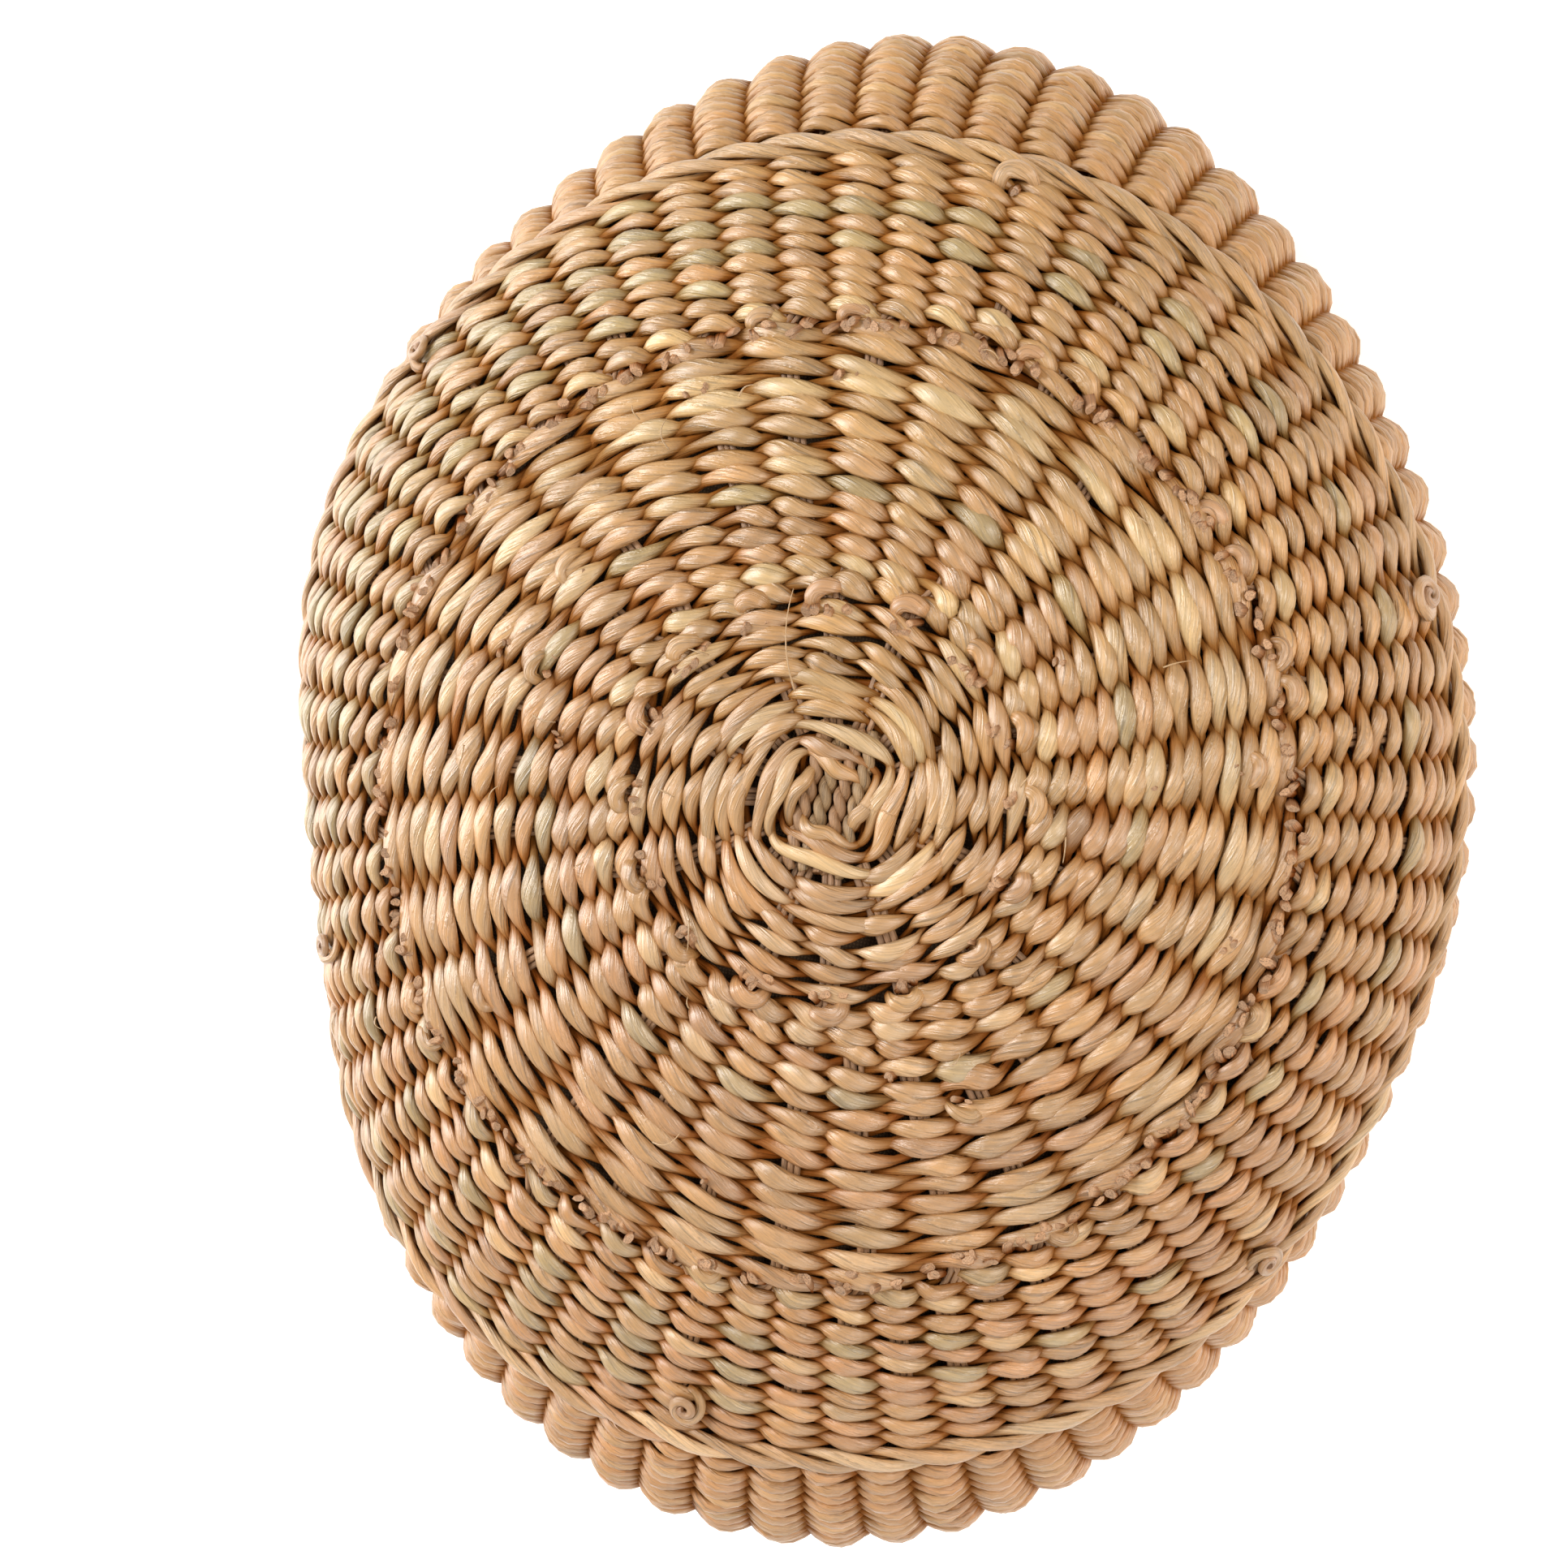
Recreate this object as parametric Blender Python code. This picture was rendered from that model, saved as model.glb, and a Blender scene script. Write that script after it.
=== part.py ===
"""Oval domed seat pad: twined rush rounds over radial stakes, a lined filling and a flat woven underside."""

import math

import bmesh
import bpy
import numpy as np
from mathutils import Matrix, Vector

# overall size, metres
WIDTH = 0.356
LENGTH = 0.455
HEIGHT = 0.130

# dome and lower curve
DOME_DEPTH = 0.090
DOME_POWER = 2.4
FOOT_INSET = HEIGHT - DOME_DEPTH
POLE_X = 0.010
POLE_Y = 0.008

# the oval's lean against the cross of stakes, in radians, and its unevenness
LEAN = 0.106
SKEW_SIN3 = 0.016
SQUARE_COS4 = 0.008
SQUARE_SIN4 = -0.0067
FLAT_SIN5 = 0.0091

# how far the rounds stray from even circles
RING_DRIFT_X = -0.026
RING_DRIFT_Y = -0.020
SHOULDER_OUT = 0.0036
SHOULDER_OVAL = 0.0066
SHOULDER_TURN = 0.202

# rings along the surface, measured from the weave centre
CROSS_EDGE = 0.0155
FIRST_RING = 0.054
SECOND_RING = 0.133
SHOULDER = 0.192
SIDE_DROP = 0.115
FOOT_LEVEL = SHOULDER + SIDE_DROP
WAIST_LEVEL = SHOULDER + 0.42 * SIDE_DROP

# woven layers, measured inward from the outside
WEAVE_THICKNESS = 0.0070
ROPE_RADIUS = 0.0046
ROPE_SINK = 0.0026
STAKE_THICKNESS = 0.0022
STAKE_DEPTH = 0.0086
CROSS_STAKE_DEPTH = 0.0111
LINER_DEPTH = 0.0142
LINER_THICKNESS = 0.0014
FILLING_DEPTH = 0.0164
GAP = 0.0003
SIDE_GAP = 0.0010

# stakes: each moves aside by these angles where new ones come in beside it
FIRST_TURN = math.pi / 32
SECOND_TURN = math.pi / 64
TURN_LENGTH = 0.014
CROSS_SPACING = 0.0050
CROSS_STAKE_WIDTH = 0.0042
OUTER_STAKE_WIDTH = 0.0062
CROSS_HALF_WINDOW = 0.0100
FAN_RADIUS = 0.0185
ADDED_STAKES = 16
FOOT_CLEARANCE = 0.0080
STAKE_END = FOOT_LEVEL - 0.014

# underside
UNDERSIDE_EDGE = FOOT_INSET + ROPE_RADIUS + 0.0005
UNDERSIDE_RINGS = (1.0, 0.69, 0.31, 0.08)
UNDERSIDE_STAKE_END = 0.93

# curled strand ends on the shoulder: angle in degrees, level
CURLS = (
    (84.5, 0.174),
    (31.5, 0.174),
    (144.5, 0.174),
    (207.5, 0.164),
    (268.5, 0.174),
    (326.5, 0.174),
)
CURL_RADIUS = 0.0048
CURL_THICKNESS = 0.0019

SEGMENTS = 48
LINER_SEGMENTS = 32
MERIDIAN_SAMPLES = 260

RUSH = (0.66, 0.45, 0.26, 1.0)
RUSH_PALE = (0.72, 0.53, 0.32, 1.0)
RUSH_ROPE = (0.60, 0.40, 0.22, 1.0)
STAKE_BROWN = (0.45, 0.29, 0.16, 1.0)
LINER_NATURAL = (0.33, 0.24, 0.16, 1.0)
FILLING_CREAM = (0.80, 0.76, 0.66, 1.0)

meridians = {}


def clear_scene():
    """Start from nothing."""
    for item in list(bpy.data.objects):
        bpy.data.objects.remove(item, do_unlink=True)


def plan_radius(angle):
    """Distance from the middle to the widest line at one plan angle."""
    turned = angle - LEAN
    oval = 1.0 / math.hypot(math.cos(turned) / (WIDTH / 2), math.sin(turned) / (LENGTH / 2))
    skew = SKEW_SIN3 * math.sin(3 * angle) + FLAT_SIN5 * math.sin(5 * angle)
    square = SQUARE_COS4 * math.cos(4 * angle) + SQUARE_SIN4 * math.sin(4 * angle)
    return oval * (1.0 + skew + square)


def meridian(angle):
    """Arc length, radius and height down one side, from the crown to the foot."""
    key = round(angle, 6)
    if key not in meridians:
        radius = plan_radius(angle)
        crown = np.linspace(0.0, 1.0, MERIDIAN_SAMPLES) ** 1.3 * math.pi / 2
        sine = np.clip(np.sin(crown), 0, 1) ** (2 / DOME_POWER)
        cosine = np.clip(np.cos(crown), 0, 1) ** (2 / DOME_POWER)
        lower = np.linspace(0.0, math.pi / 2, MERIDIAN_SAMPLES // 2)[1:]
        r = np.concatenate([radius * sine, radius - FOOT_INSET * (1 - np.cos(lower))])
        z = np.concatenate([FOOT_INSET + DOME_DEPTH * cosine, FOOT_INSET * (1 - np.sin(lower))])
        steps = np.hypot(np.diff(r), np.diff(z))
        arc = np.concatenate([[0.0], np.cumsum(steps)])
        meridians[key] = (arc, r, z, radius)
    return meridians[key]


def arc_of_level(level, angle):
    """Turn a weaving level into arc length: even rounds on the crown, shared out down the side."""
    arc, _, _, _ = meridian(angle)
    drift = 1.0 + RING_DRIFT_X * math.cos(angle) + RING_DRIFT_Y * math.sin(angle)
    shoulder = SHOULDER * drift + SHOULDER_OUT + SHOULDER_OVAL * math.cos(2 * (angle - SHOULDER_TURN))
    places = (0.0, SECOND_RING * drift, shoulder, arc[-1])
    return float(np.interp(level, (0.0, SECOND_RING, SHOULDER, FOOT_LEVEL), places))


def surface(level, angle, depth=0.0):
    """A point on the pad, moved inward by a depth square to the surface."""
    arc, r, z, radius = meridian(angle)
    along = min(max(arc_of_level(level, angle), 0.0), arc[-1])
    here_r = float(np.interp(along, arc, r))
    here_z = float(np.interp(along, arc, z))
    before = max(along - 0.002, 0.0)
    after = min(along + 0.002, arc[-1])
    run = float(np.interp(after, arc, r) - np.interp(before, arc, r))
    fall = float(np.interp(after, arc, z) - np.interp(before, arc, z))
    length = math.hypot(run, fall)
    inward_r = here_r + depth * fall / length
    inward_z = here_z - depth * run / length
    pole_pull = max(0.0, 1.0 - (here_r / radius) ** 2) if here_z >= FOOT_INSET else 0.0
    x = inward_r * math.cos(angle) + POLE_X * pole_pull
    y = inward_r * math.sin(angle) + POLE_Y * pole_pull
    return Vector((x, y, inward_z))


def material(name, colour, roughness):
    """A plain Principled material for one sub-part."""
    made = bpy.data.materials.new(name)
    made.use_nodes = True
    shader = made.node_tree.nodes["Principled BSDF"]
    shader.inputs["Base Color"].default_value = colour
    shader.inputs["Roughness"].default_value = roughness
    return made


def finish(name, bm, colour, roughness=0.7, smooth=True):
    """Close the mesh outward, name it and put it in the scene."""
    bmesh.ops.recalc_face_normals(bm, faces=bm.faces[:])
    for face in bm.faces:
        face.smooth = smooth
    mesh = bpy.data.meshes.new(name)
    bm.to_mesh(mesh)
    bm.free()
    made = bpy.data.objects.new(name, mesh)
    made.data.materials.append(material(name + "_material", colour, roughness))
    bpy.context.scene.collection.objects.link(made)
    return made


def angles(count):
    """Even plan angles once around."""
    return [2 * math.pi * i / count for i in range(count)]


def bridge(bm, first, second):
    """Quads between two loops of the same count."""
    count = len(first)
    for i in range(count):
        j = (i + 1) % count
        bm.faces.new((first[i], first[j], second[j], second[i]))


def loop_of(bm, level, depth, count):
    """One closed loop of vertices around the pad."""
    return [bm.verts.new(surface(level, angle, depth)) for angle in angles(count)]


def woven_band(name, start, end, steps, colour):
    """A closed woven ring between two levels, one weave thick."""
    bm = bmesh.new()
    levels = [start + (end - start) * i / steps for i in range(steps + 1)]
    outside = [loop_of(bm, level, 0.0, SEGMENTS) for level in levels]
    inside = [loop_of(bm, level, WEAVE_THICKNESS, SEGMENTS) for level in reversed(levels)]
    loops = outside + inside
    for i, loop in enumerate(loops):
        bridge(bm, loop, loops[(i + 1) % len(loops)])
    return finish(name, bm, colour)


def rope_ring(name, centres, radius, sides, colour):
    """A round rope laid along a closed line of centres."""
    bm = bmesh.new()
    loops = []
    count = len(centres)
    for i, centre in enumerate(centres):
        ahead = centres[(i + 1) % count] - centres[i - 1]
        forward = Vector((ahead.x, ahead.y, 0.0)).normalized()
        outward = Vector((forward.y, -forward.x, 0.0))
        loop = []
        for side in range(sides):
            turn = 2 * math.pi * side / sides
            offset = outward * math.cos(turn) + Vector((0, 0, 1)) * math.sin(turn)
            loop.append(bm.verts.new(centre + offset * radius))
        loops.append(loop)
    for i, loop in enumerate(loops):
        bridge(bm, loop, loops[(i + 1) % count])
    return finish(name, bm, colour)


def shoulder_wale():
    """The thick rope-like round that marks the shoulder."""
    centres = [surface(SHOULDER, angle, ROPE_SINK) for angle in angles(SEGMENTS)]
    return rope_ring("shoulder_wale", centres, ROPE_RADIUS, 6, RUSH_ROPE)


def foot_border():
    """The finished edge that the pad stands on."""
    centres = []
    for angle in angles(SEGMENTS):
        radius = plan_radius(angle) - FOOT_INSET
        centres.append(Vector((radius * math.cos(angle), radius * math.sin(angle), ROPE_RADIUS)))
    return rope_ring("foot_border", centres, ROPE_RADIUS, 6, RUSH_ROPE)


def eased(share):
    """A smooth rise from nothing to one."""
    share = min(max(share, 0.0), 1.0)
    return share * share * (3 - 2 * share)


def ray(home, start, first_turn):
    """Flat path of one stake from its foot in to its start, moving aside at both rings."""
    points = []
    for level in stake_levels(start):
        first = eased((level - FIRST_RING) / TURN_LENGTH + 1)
        second = eased((level - SECOND_RING) / TURN_LENGTH + 1)
        angle = home + first_turn * first - SECOND_TURN * second
        points.append((level * math.cos(angle), level * math.sin(angle)))
    return points


def stake_path_across(offset, near, far, lengthwise):
    """Flat path of a base stake: in along one ray, straight through the cross, out along the other."""
    window = CROSS_HALF_WINDOW
    if lengthwise:
        middle = [(offset, window), (offset, 0.0), (offset, -window)]
    else:
        middle = [(window, offset), (0.0, offset), (-window, offset)]
    far_side = list(reversed(ray(far, FAN_RADIUS, -FIRST_TURN)))
    return ray(near, FAN_RADIUS, -FIRST_TURN) + middle + far_side


def stake_body(name, path, depth, widths, colour):
    """A flat bundle of stems laid just under the weave along a path."""
    bm = bmesh.new()
    sections = []
    for i, (x, y) in enumerate(path):
        before = path[max(i - 1, 0)]
        after = path[min(i + 1, len(path) - 1)]
        heading = Vector((after[0] - before[0], after[1] - before[1])).normalized()
        side = Vector((-heading.y, heading.x)) * widths[i] / 2
        corners = []
        for sign in (1, -1):
            px = x + side.x * sign
            py = y + side.y * sign
            level = math.hypot(px, py)
            angle = math.atan2(py, px) % (2 * math.pi)
            corners.append((level, angle))
        section = [
            bm.verts.new(side_point(corners[0], (x, y), widths[i], depth)),
            bm.verts.new(side_point(corners[1], (x, y), widths[i], depth)),
            bm.verts.new(side_point(corners[1], (x, y), widths[i], depth + STAKE_THICKNESS)),
            bm.verts.new(side_point(corners[0], (x, y), widths[i], depth + STAKE_THICKNESS)),
        ]
        sections.append(section)
    for first, second in zip(sections, sections[1:]):
        bridge(bm, first, second)
    bm.faces.new(sections[0])
    bm.faces.new(sections[-1])
    return finish(name, bm, colour, smooth=False)


def side_point(corner, middle, width, depth):
    """A stake's edge: in the cross it follows the flat path, further out it keeps its true width."""
    level, angle = corner
    radius = math.hypot(*middle)
    if radius < FAN_RADIUS:
        return surface(level, angle, depth)
    middle_angle = math.atan2(middle[1], middle[0]) % (2 * math.pi)
    centre = surface(radius, middle_angle, depth)
    ahead = surface(radius, middle_angle + 0.01, depth)
    behind = surface(radius, middle_angle - 0.01, depth)
    across = (ahead - behind).normalized()
    turned = across if (angle - middle_angle) % (2 * math.pi) < math.pi else -across
    return centre + turned * width / 2


def stake_levels(start):
    """Levels along a stake from its foot up to its start: close together where the side curves."""
    side = np.linspace(STAKE_END, WAIST_LEVEL, 9)
    crown = np.linspace(WAIST_LEVEL, start, 16)[1:]
    return np.concatenate([side, crown])


def stake_widths(path):
    """Narrow in the cross, full width from there out."""
    widths = []
    for x, y in path:
        radius = math.hypot(x, y)
        share = min(max((radius - FAN_RADIUS) / FIRST_RING, 0.0), 1.0)
        widths.append(CROSS_STAKE_WIDTH + (OUTER_STAKE_WIDTH - CROSS_STAKE_WIDTH) * share)
    return widths


def base_stakes():
    """Four lengthwise and four crosswise bundles that start the weave as a cross."""
    fan = math.pi / 8
    for i in range(4):
        offset = (i - 1.5) * CROSS_SPACING
        turn = (i - 1.5) * fan
        path = stake_path_across(offset, math.pi / 2 - turn, turn - math.pi / 2, True)
        stake_body(f"lengthwise_stake_{i + 1}", path, STAKE_DEPTH, stake_widths(path), STAKE_BROWN)
        path = stake_path_across(offset, turn, math.pi - turn, False)
        stake_body(f"crosswise_stake_{i + 1}", path, CROSS_STAKE_DEPTH, stake_widths(path), STAKE_BROWN)


def added_stakes():
    """Sixteen bundles pushed in at the first ring, one beside each base stake."""
    for i in range(ADDED_STAKES):
        home = 2 * math.pi * (i + 0.5) / ADDED_STAKES
        path = ray(home, FIRST_RING, FIRST_TURN)
        widths = [OUTER_STAKE_WIDTH] * len(path)
        stake_body(f"added_stake_{i + 1}", path, STAKE_DEPTH, widths, STAKE_BROWN)


def cross_bindings():
    """Short bands of strands lashed over the two ends of the cross."""
    for name, sign in (("cross_binding_far", 1), ("cross_binding_near", -1)):
        bm = bmesh.new()
        sections = []
        for i in range(9):
            share = i / 8 * 2 - 1
            x = share * 0.0095
            y = sign * (0.0112 - 0.0022 * share * share)
            section = []
            for dy, depth in ((0.0021, 0.0042), (-0.0021, 0.0042), (-0.0021, 0.0074), (0.0021, 0.0074)):
                level = math.hypot(x, y + dy)
                angle = math.atan2(y + dy, x) % (2 * math.pi)
                section.append(bm.verts.new(surface(level, angle, depth)))
            sections.append(section)
        for first, second in zip(sections, sections[1:]):
            bridge(bm, first, second)
        bm.faces.new(sections[0])
        bm.faces.new(sections[-1])
        finish(name, bm, RUSH_PALE)


def curled_ends():
    """Strand ends rolled into small curls just above the shoulder."""
    for i, (degrees, level) in enumerate(CURLS):
        angle = math.radians(degrees)
        centre = surface(level, angle, -(CURL_THICKNESS + GAP))
        below = surface(level, angle, 0.01)
        bm = bmesh.new()
        loops = []
        for turn in angles(10):
            loop = []
            for side in angles(5):
                reach = CURL_RADIUS - CURL_THICKNESS + CURL_THICKNESS * math.cos(side)
                height = CURL_THICKNESS * math.sin(side)
                loop.append(bm.verts.new((reach * math.cos(turn), reach * math.sin(turn), height)))
            loops.append(loop)
        for j, loop in enumerate(loops):
            bridge(bm, loop, loops[(j + 1) % len(loops)])
        made = finish(f"curled_end_{i + 1}", bm, RUSH)
        outward = (centre - below).normalized()
        lean = outward.to_track_quat("Z", "Y").to_matrix().to_4x4()
        made.matrix_world = Matrix.Translation(centre) @ lean


def underside_radius(angle, share):
    """Plan radius of a ring on the flat underside."""
    return share * (plan_radius(angle) - UNDERSIDE_EDGE)


def flat_loop(bm, radius_of, height, count):
    """A level loop whose radius depends on the plan angle."""
    loop = []
    for angle in angles(count):
        radius = radius_of(angle)
        loop.append(bm.verts.new((radius * math.cos(angle), radius * math.sin(angle), height)))
    return loop


def underside_band(name, outer, inner, colour):
    """A flat woven ring of the underside."""
    bm = bmesh.new()
    edge = 0.0012
    corners = (
        (outer, 0.0, -edge),
        (outer, edge, 0.0),
        (outer, WEAVE_THICKNESS, 0.0),
        (inner, WEAVE_THICKNESS, 0.0),
        (inner, edge, 0.0),
        (inner, 0.0, edge),
    )
    loops = []
    for share, height, shift in corners:
        loops.append(flat_loop(bm, lambda a: underside_radius(a, share) + shift, height, SEGMENTS))
    for i, loop in enumerate(loops):
        bridge(bm, loop, loops[(i + 1) % len(loops)])
    return finish(name, bm, colour)


def underside_centre():
    """The plug of weave that closes the underside."""
    bm = bmesh.new()
    share = UNDERSIDE_RINGS[3]
    lower = flat_loop(bm, lambda a: underside_radius(a, share) - GAP, 0.0, 24)
    upper = flat_loop(bm, lambda a: underside_radius(a, share) - GAP, WEAVE_THICKNESS, 24)
    bridge(bm, lower, upper)
    bm.faces.new(lower)
    bm.faces.new(upper)
    return finish("underside_centre", bm, RUSH, smooth=False)


def underside_point(angle, reach):
    """A point in the plane of the underside stakes."""
    return Vector((reach * math.cos(angle), reach * math.sin(angle), 0.0))


def underside_stakes():
    """Straight bundles that cross under the filling and carry the underside weave."""
    fan = math.pi / 8
    for i in range(4):
        turn = (i - 1.5) * fan
        offset = (i - 1.5) * CROSS_SPACING
        lengthwise = (math.pi / 2 - turn, turn - math.pi / 2, Vector((offset, 0.0, 0.0)), 0.0)
        crosswise = (turn, math.pi - turn, Vector((0.0, offset, 0.0)), 0.0025)
        for name, (near, far, middle, lift) in (("long", lengthwise), ("cross", crosswise)):
            points = [
                underside_point(near, underside_radius(near, UNDERSIDE_STAKE_END)),
                underside_point(near, FAN_RADIUS + 0.004),
                middle,
                underside_point(far, FAN_RADIUS + 0.004),
                underside_point(far, underside_radius(far, UNDERSIDE_STAKE_END)),
            ]
            straight_stake(f"underside_{name}_stake_{i + 1}", points, WEAVE_THICKNESS + GAP + lift)


def straight_stake(name, points, height):
    """A flat bundle through level points, rectangular in section."""
    bm = bmesh.new()
    sections = []
    for i, point in enumerate(points):
        ahead = points[min(i + 1, len(points) - 1)] - points[max(i - 1, 0)]
        side = Vector((-ahead.y, ahead.x, 0.0)).normalized() * CROSS_STAKE_WIDTH / 2
        section = []
        for sign, lift in ((1, 0.0), (-1, 0.0), (-1, STAKE_THICKNESS), (1, STAKE_THICKNESS)):
            section.append(bm.verts.new(point + side * sign + Vector((0.0, 0.0, height + lift))))
        sections.append(section)
    for first, second in zip(sections, sections[1:]):
        bridge(bm, first, second)
    bm.faces.new(sections[0])
    bm.faces.new(sections[-1])
    return finish(name, bm, STAKE_BROWN, smooth=False)


def dome_loops(bm, depth, levels, count):
    """Loops at one depth from just off the crown down to the foot."""
    return [loop_of(bm, level, depth, count) for level in levels]


def close_with_point(bm, loop, point):
    """Close a loop with a fan of triangles to a point."""
    tip = bm.verts.new(point)
    for i, vertex in enumerate(loop):
        bm.faces.new((vertex, loop[(i + 1) % len(loop)], tip))


def liner_top():
    """Cotton cover over the filling: crown and sides."""
    bm = bmesh.new()
    levels = [0.03, 0.08, 0.13, 0.17, 0.20, 0.222, 0.240, 0.256, 0.272, 0.288, 0.298]
    outside = dome_loops(bm, LINER_DEPTH, levels, LINER_SEGMENTS)
    inside = dome_loops(bm, LINER_DEPTH + LINER_THICKNESS, levels, LINER_SEGMENTS)
    for loops in (outside, inside):
        for first, second in zip(loops, loops[1:]):
            bridge(bm, first, second)
    bridge(bm, outside[-1], inside[-1])
    close_with_point(bm, outside[0], surface(0.0, 0.0, LINER_DEPTH))
    close_with_point(bm, inside[0], surface(0.0, 0.0, LINER_DEPTH + LINER_THICKNESS))
    return finish("liner_top", bm, LINER_NATURAL, 0.9)


def liner_bottom():
    """Flat panel of the cotton cover, under the filling."""
    bm = bmesh.new()
    lower = flat_loop(bm, lambda a: plan_radius(a) - FOOT_INSET - 0.002, LINER_DEPTH, LINER_SEGMENTS)
    top = LINER_DEPTH + LINER_THICKNESS
    upper = flat_loop(bm, lambda a: plan_radius(a) - FOOT_INSET - 0.002, top, LINER_SEGMENTS)
    bridge(bm, lower, upper)
    bm.faces.new(lower)
    bm.faces.new(upper)
    return finish("liner_bottom", bm, LINER_NATURAL, 0.9, smooth=False)


def filling():
    """The springy filling that gives the pad its dome."""
    bm = bmesh.new()
    levels = [0.03, 0.08, 0.13, 0.17, 0.20, 0.222, 0.240, 0.256, 0.272, 0.288, 0.298, 0.305]
    loops = dome_loops(bm, FILLING_DEPTH, levels, LINER_SEGMENTS)
    for first, second in zip(loops, loops[1:]):
        bridge(bm, first, second)
    close_with_point(bm, loops[0], surface(0.0, 0.0, FILLING_DEPTH))
    bm.faces.new(loops[-1])
    return finish("filling", bm, FILLING_CREAM, 0.95)


def build():
    """Every sub-part, from the crown down and then inward."""
    clear_scene()
    side_start = SHOULDER + 0.0066
    rope_clear = SHOULDER - 0.0060
    woven_band("inner_rounds", CROSS_EDGE, FIRST_RING - GAP, 2, RUSH)
    woven_band("middle_rounds", FIRST_RING, SECOND_RING - GAP, 4, RUSH_PALE)
    woven_band("outer_rounds", SECOND_RING, rope_clear, 5, RUSH)
    shoulder_wale()
    woven_band("upper_side_rounds", side_start, WAIST_LEVEL - SIDE_GAP, 4, RUSH_PALE)
    woven_band("lower_side_rounds", WAIST_LEVEL, FOOT_LEVEL - FOOT_CLEARANCE, 6, RUSH)
    foot_border()
    outer, middle, inner, centre = UNDERSIDE_RINGS
    ring_gap = 0.002
    underside_band("underside_outer_rounds", outer, middle + ring_gap, RUSH)
    underside_band("underside_middle_rounds", middle, inner + ring_gap, RUSH_PALE)
    underside_band("underside_inner_rounds", inner, centre + ring_gap, RUSH)
    underside_centre()
    base_stakes()
    added_stakes()
    cross_bindings()
    curled_ends()
    underside_stakes()
    liner_top()
    liner_bottom()
    filling()


build()
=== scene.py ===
import math

import bpy
import numpy as np
from mathutils import Matrix, Vector


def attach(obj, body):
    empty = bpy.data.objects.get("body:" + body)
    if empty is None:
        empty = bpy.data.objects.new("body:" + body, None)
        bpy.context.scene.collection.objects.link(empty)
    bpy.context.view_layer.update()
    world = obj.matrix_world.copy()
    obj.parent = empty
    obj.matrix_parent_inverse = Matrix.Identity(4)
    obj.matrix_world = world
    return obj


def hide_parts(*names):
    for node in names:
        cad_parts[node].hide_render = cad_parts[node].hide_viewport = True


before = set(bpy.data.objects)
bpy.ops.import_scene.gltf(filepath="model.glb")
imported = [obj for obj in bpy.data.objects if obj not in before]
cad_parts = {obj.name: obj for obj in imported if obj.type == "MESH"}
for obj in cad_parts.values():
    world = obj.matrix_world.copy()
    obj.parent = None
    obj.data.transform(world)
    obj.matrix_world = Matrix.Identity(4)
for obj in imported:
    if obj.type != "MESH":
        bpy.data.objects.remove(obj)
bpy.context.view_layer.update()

TAU = 2 * math.pi
MM = 0.001
SEED = 20417

# ------------------------------ the pad's shape, millimetres
WIDTH = 356.0
LENGTH = 455.0
HEIGHT = 130.0
DOME_DEPTH = 90.0
DOME_POWER = 2.4
FOOT_INSET = HEIGHT - DOME_DEPTH
POLE_X = 10.0
POLE_Y = 8.0
LEAN = 0.106                # the oval's turn against the cross of stakes
SKEW_SIN3 = 0.016           # the outline's unevenness, as shares of its radius
SQUARE_COS4 = 0.008
SQUARE_SIN4 = -0.0067
FLAT_SIN5 = 0.0091
RING_DRIFT_X = -0.026       # the rounds lie a little off centre
RING_DRIFT_Y = -0.020
SHOULDER_OUT = 3.6          # the shoulder round's own oval
SHOULDER_OVAL = 6.6
SHOULDER_TURN = 0.202
FIRST_RING = 54.0
SECOND_RING = 133.0
SHOULDER = 192.0
SIDE_DROP = 115.0
FOOT_LEVEL = SHOULDER + SIDE_DROP
WAIST_LEVEL = SHOULDER + 0.42 * SIDE_DROP
UNDERSIDE_EDGE = FOOT_INSET + 5.1

# ------------------------------ the weave
# a level is the arc length from the weave's centre, and a height is measured out from the outer surface
STAKE_LEVEL = -4.5          # height of the stakes' middle
STEM_RADIUS = 0.92
STEM_SPACING = 1.75
STEMS = 3                   # stems in each stake
BASE_STAKES = 16
MIDDLE_STAKES = 32
OUTER_STAKES = 64
SIDE_STAKES = 76            # more stakes are pushed in under the rope for the side
MIDDLE_ROWS = 14
OUTER_ROWS = 10
OUTER_GREENS = (0.2, 0.35, 0.8, 1.0, 1.0, 0.8, 0.6, 0.4, 0.3, 0.3)
UPPER_SIDE_ROWS = 12
LOWER_SIDE_ROWS = 13
SQUARE_ROWS = ((9.1, 1.15), (13.1, 1.05), (17.2, 0.8))      # level, and how square the round is
PAIR_ROWS = (24.2, 28.2, 32.2)                              # over pairs of stakes
SINGLE_ROWS = (36.6, 41.5, 46.4, 51.4)                      # over each base stake
TUCK_LEVEL = 281.0          # from here to the foot the side rounds lie a little deeper
TUCK_LENGTH = 19.0
UNDERSIDE_PITCH = 4.9
UNDERSIDE_MIDDLE = -4.9     # height of the underside's strands
FOOT_TWISTS = 21
SPLICES = 14                # places between the rings where a stem is renewed
STRAY_FIBRES = 26
LAMP_REACH = 1.2            # metres for each unit of a lamp's place
# each lamp's name, its place along the camera's back, up and right, its size, watts and colour
LAMPS = (
    ("key", 0.72, 0.46, -1.08, 0.85, 17.4, (0.98, 1.0, 1.0)),
    ("rim", 0.14, 0.1, -1.3, 0.8, 12.5, (0.99, 0.99, 1.0)),
    ("front", 1.2, 0.0, 0.5, 0.7, 9.3, (1.0, 0.97, 0.91)),
    ("low", 0.7, -1.15, 0.0, 1.2, 5.4, (0.97, 1.0, 0.96)),
    ("warm", 0.35, 0.0, 1.3, 0.9, 7.8, (1.0, 0.60, 0.30)),
)
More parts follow.
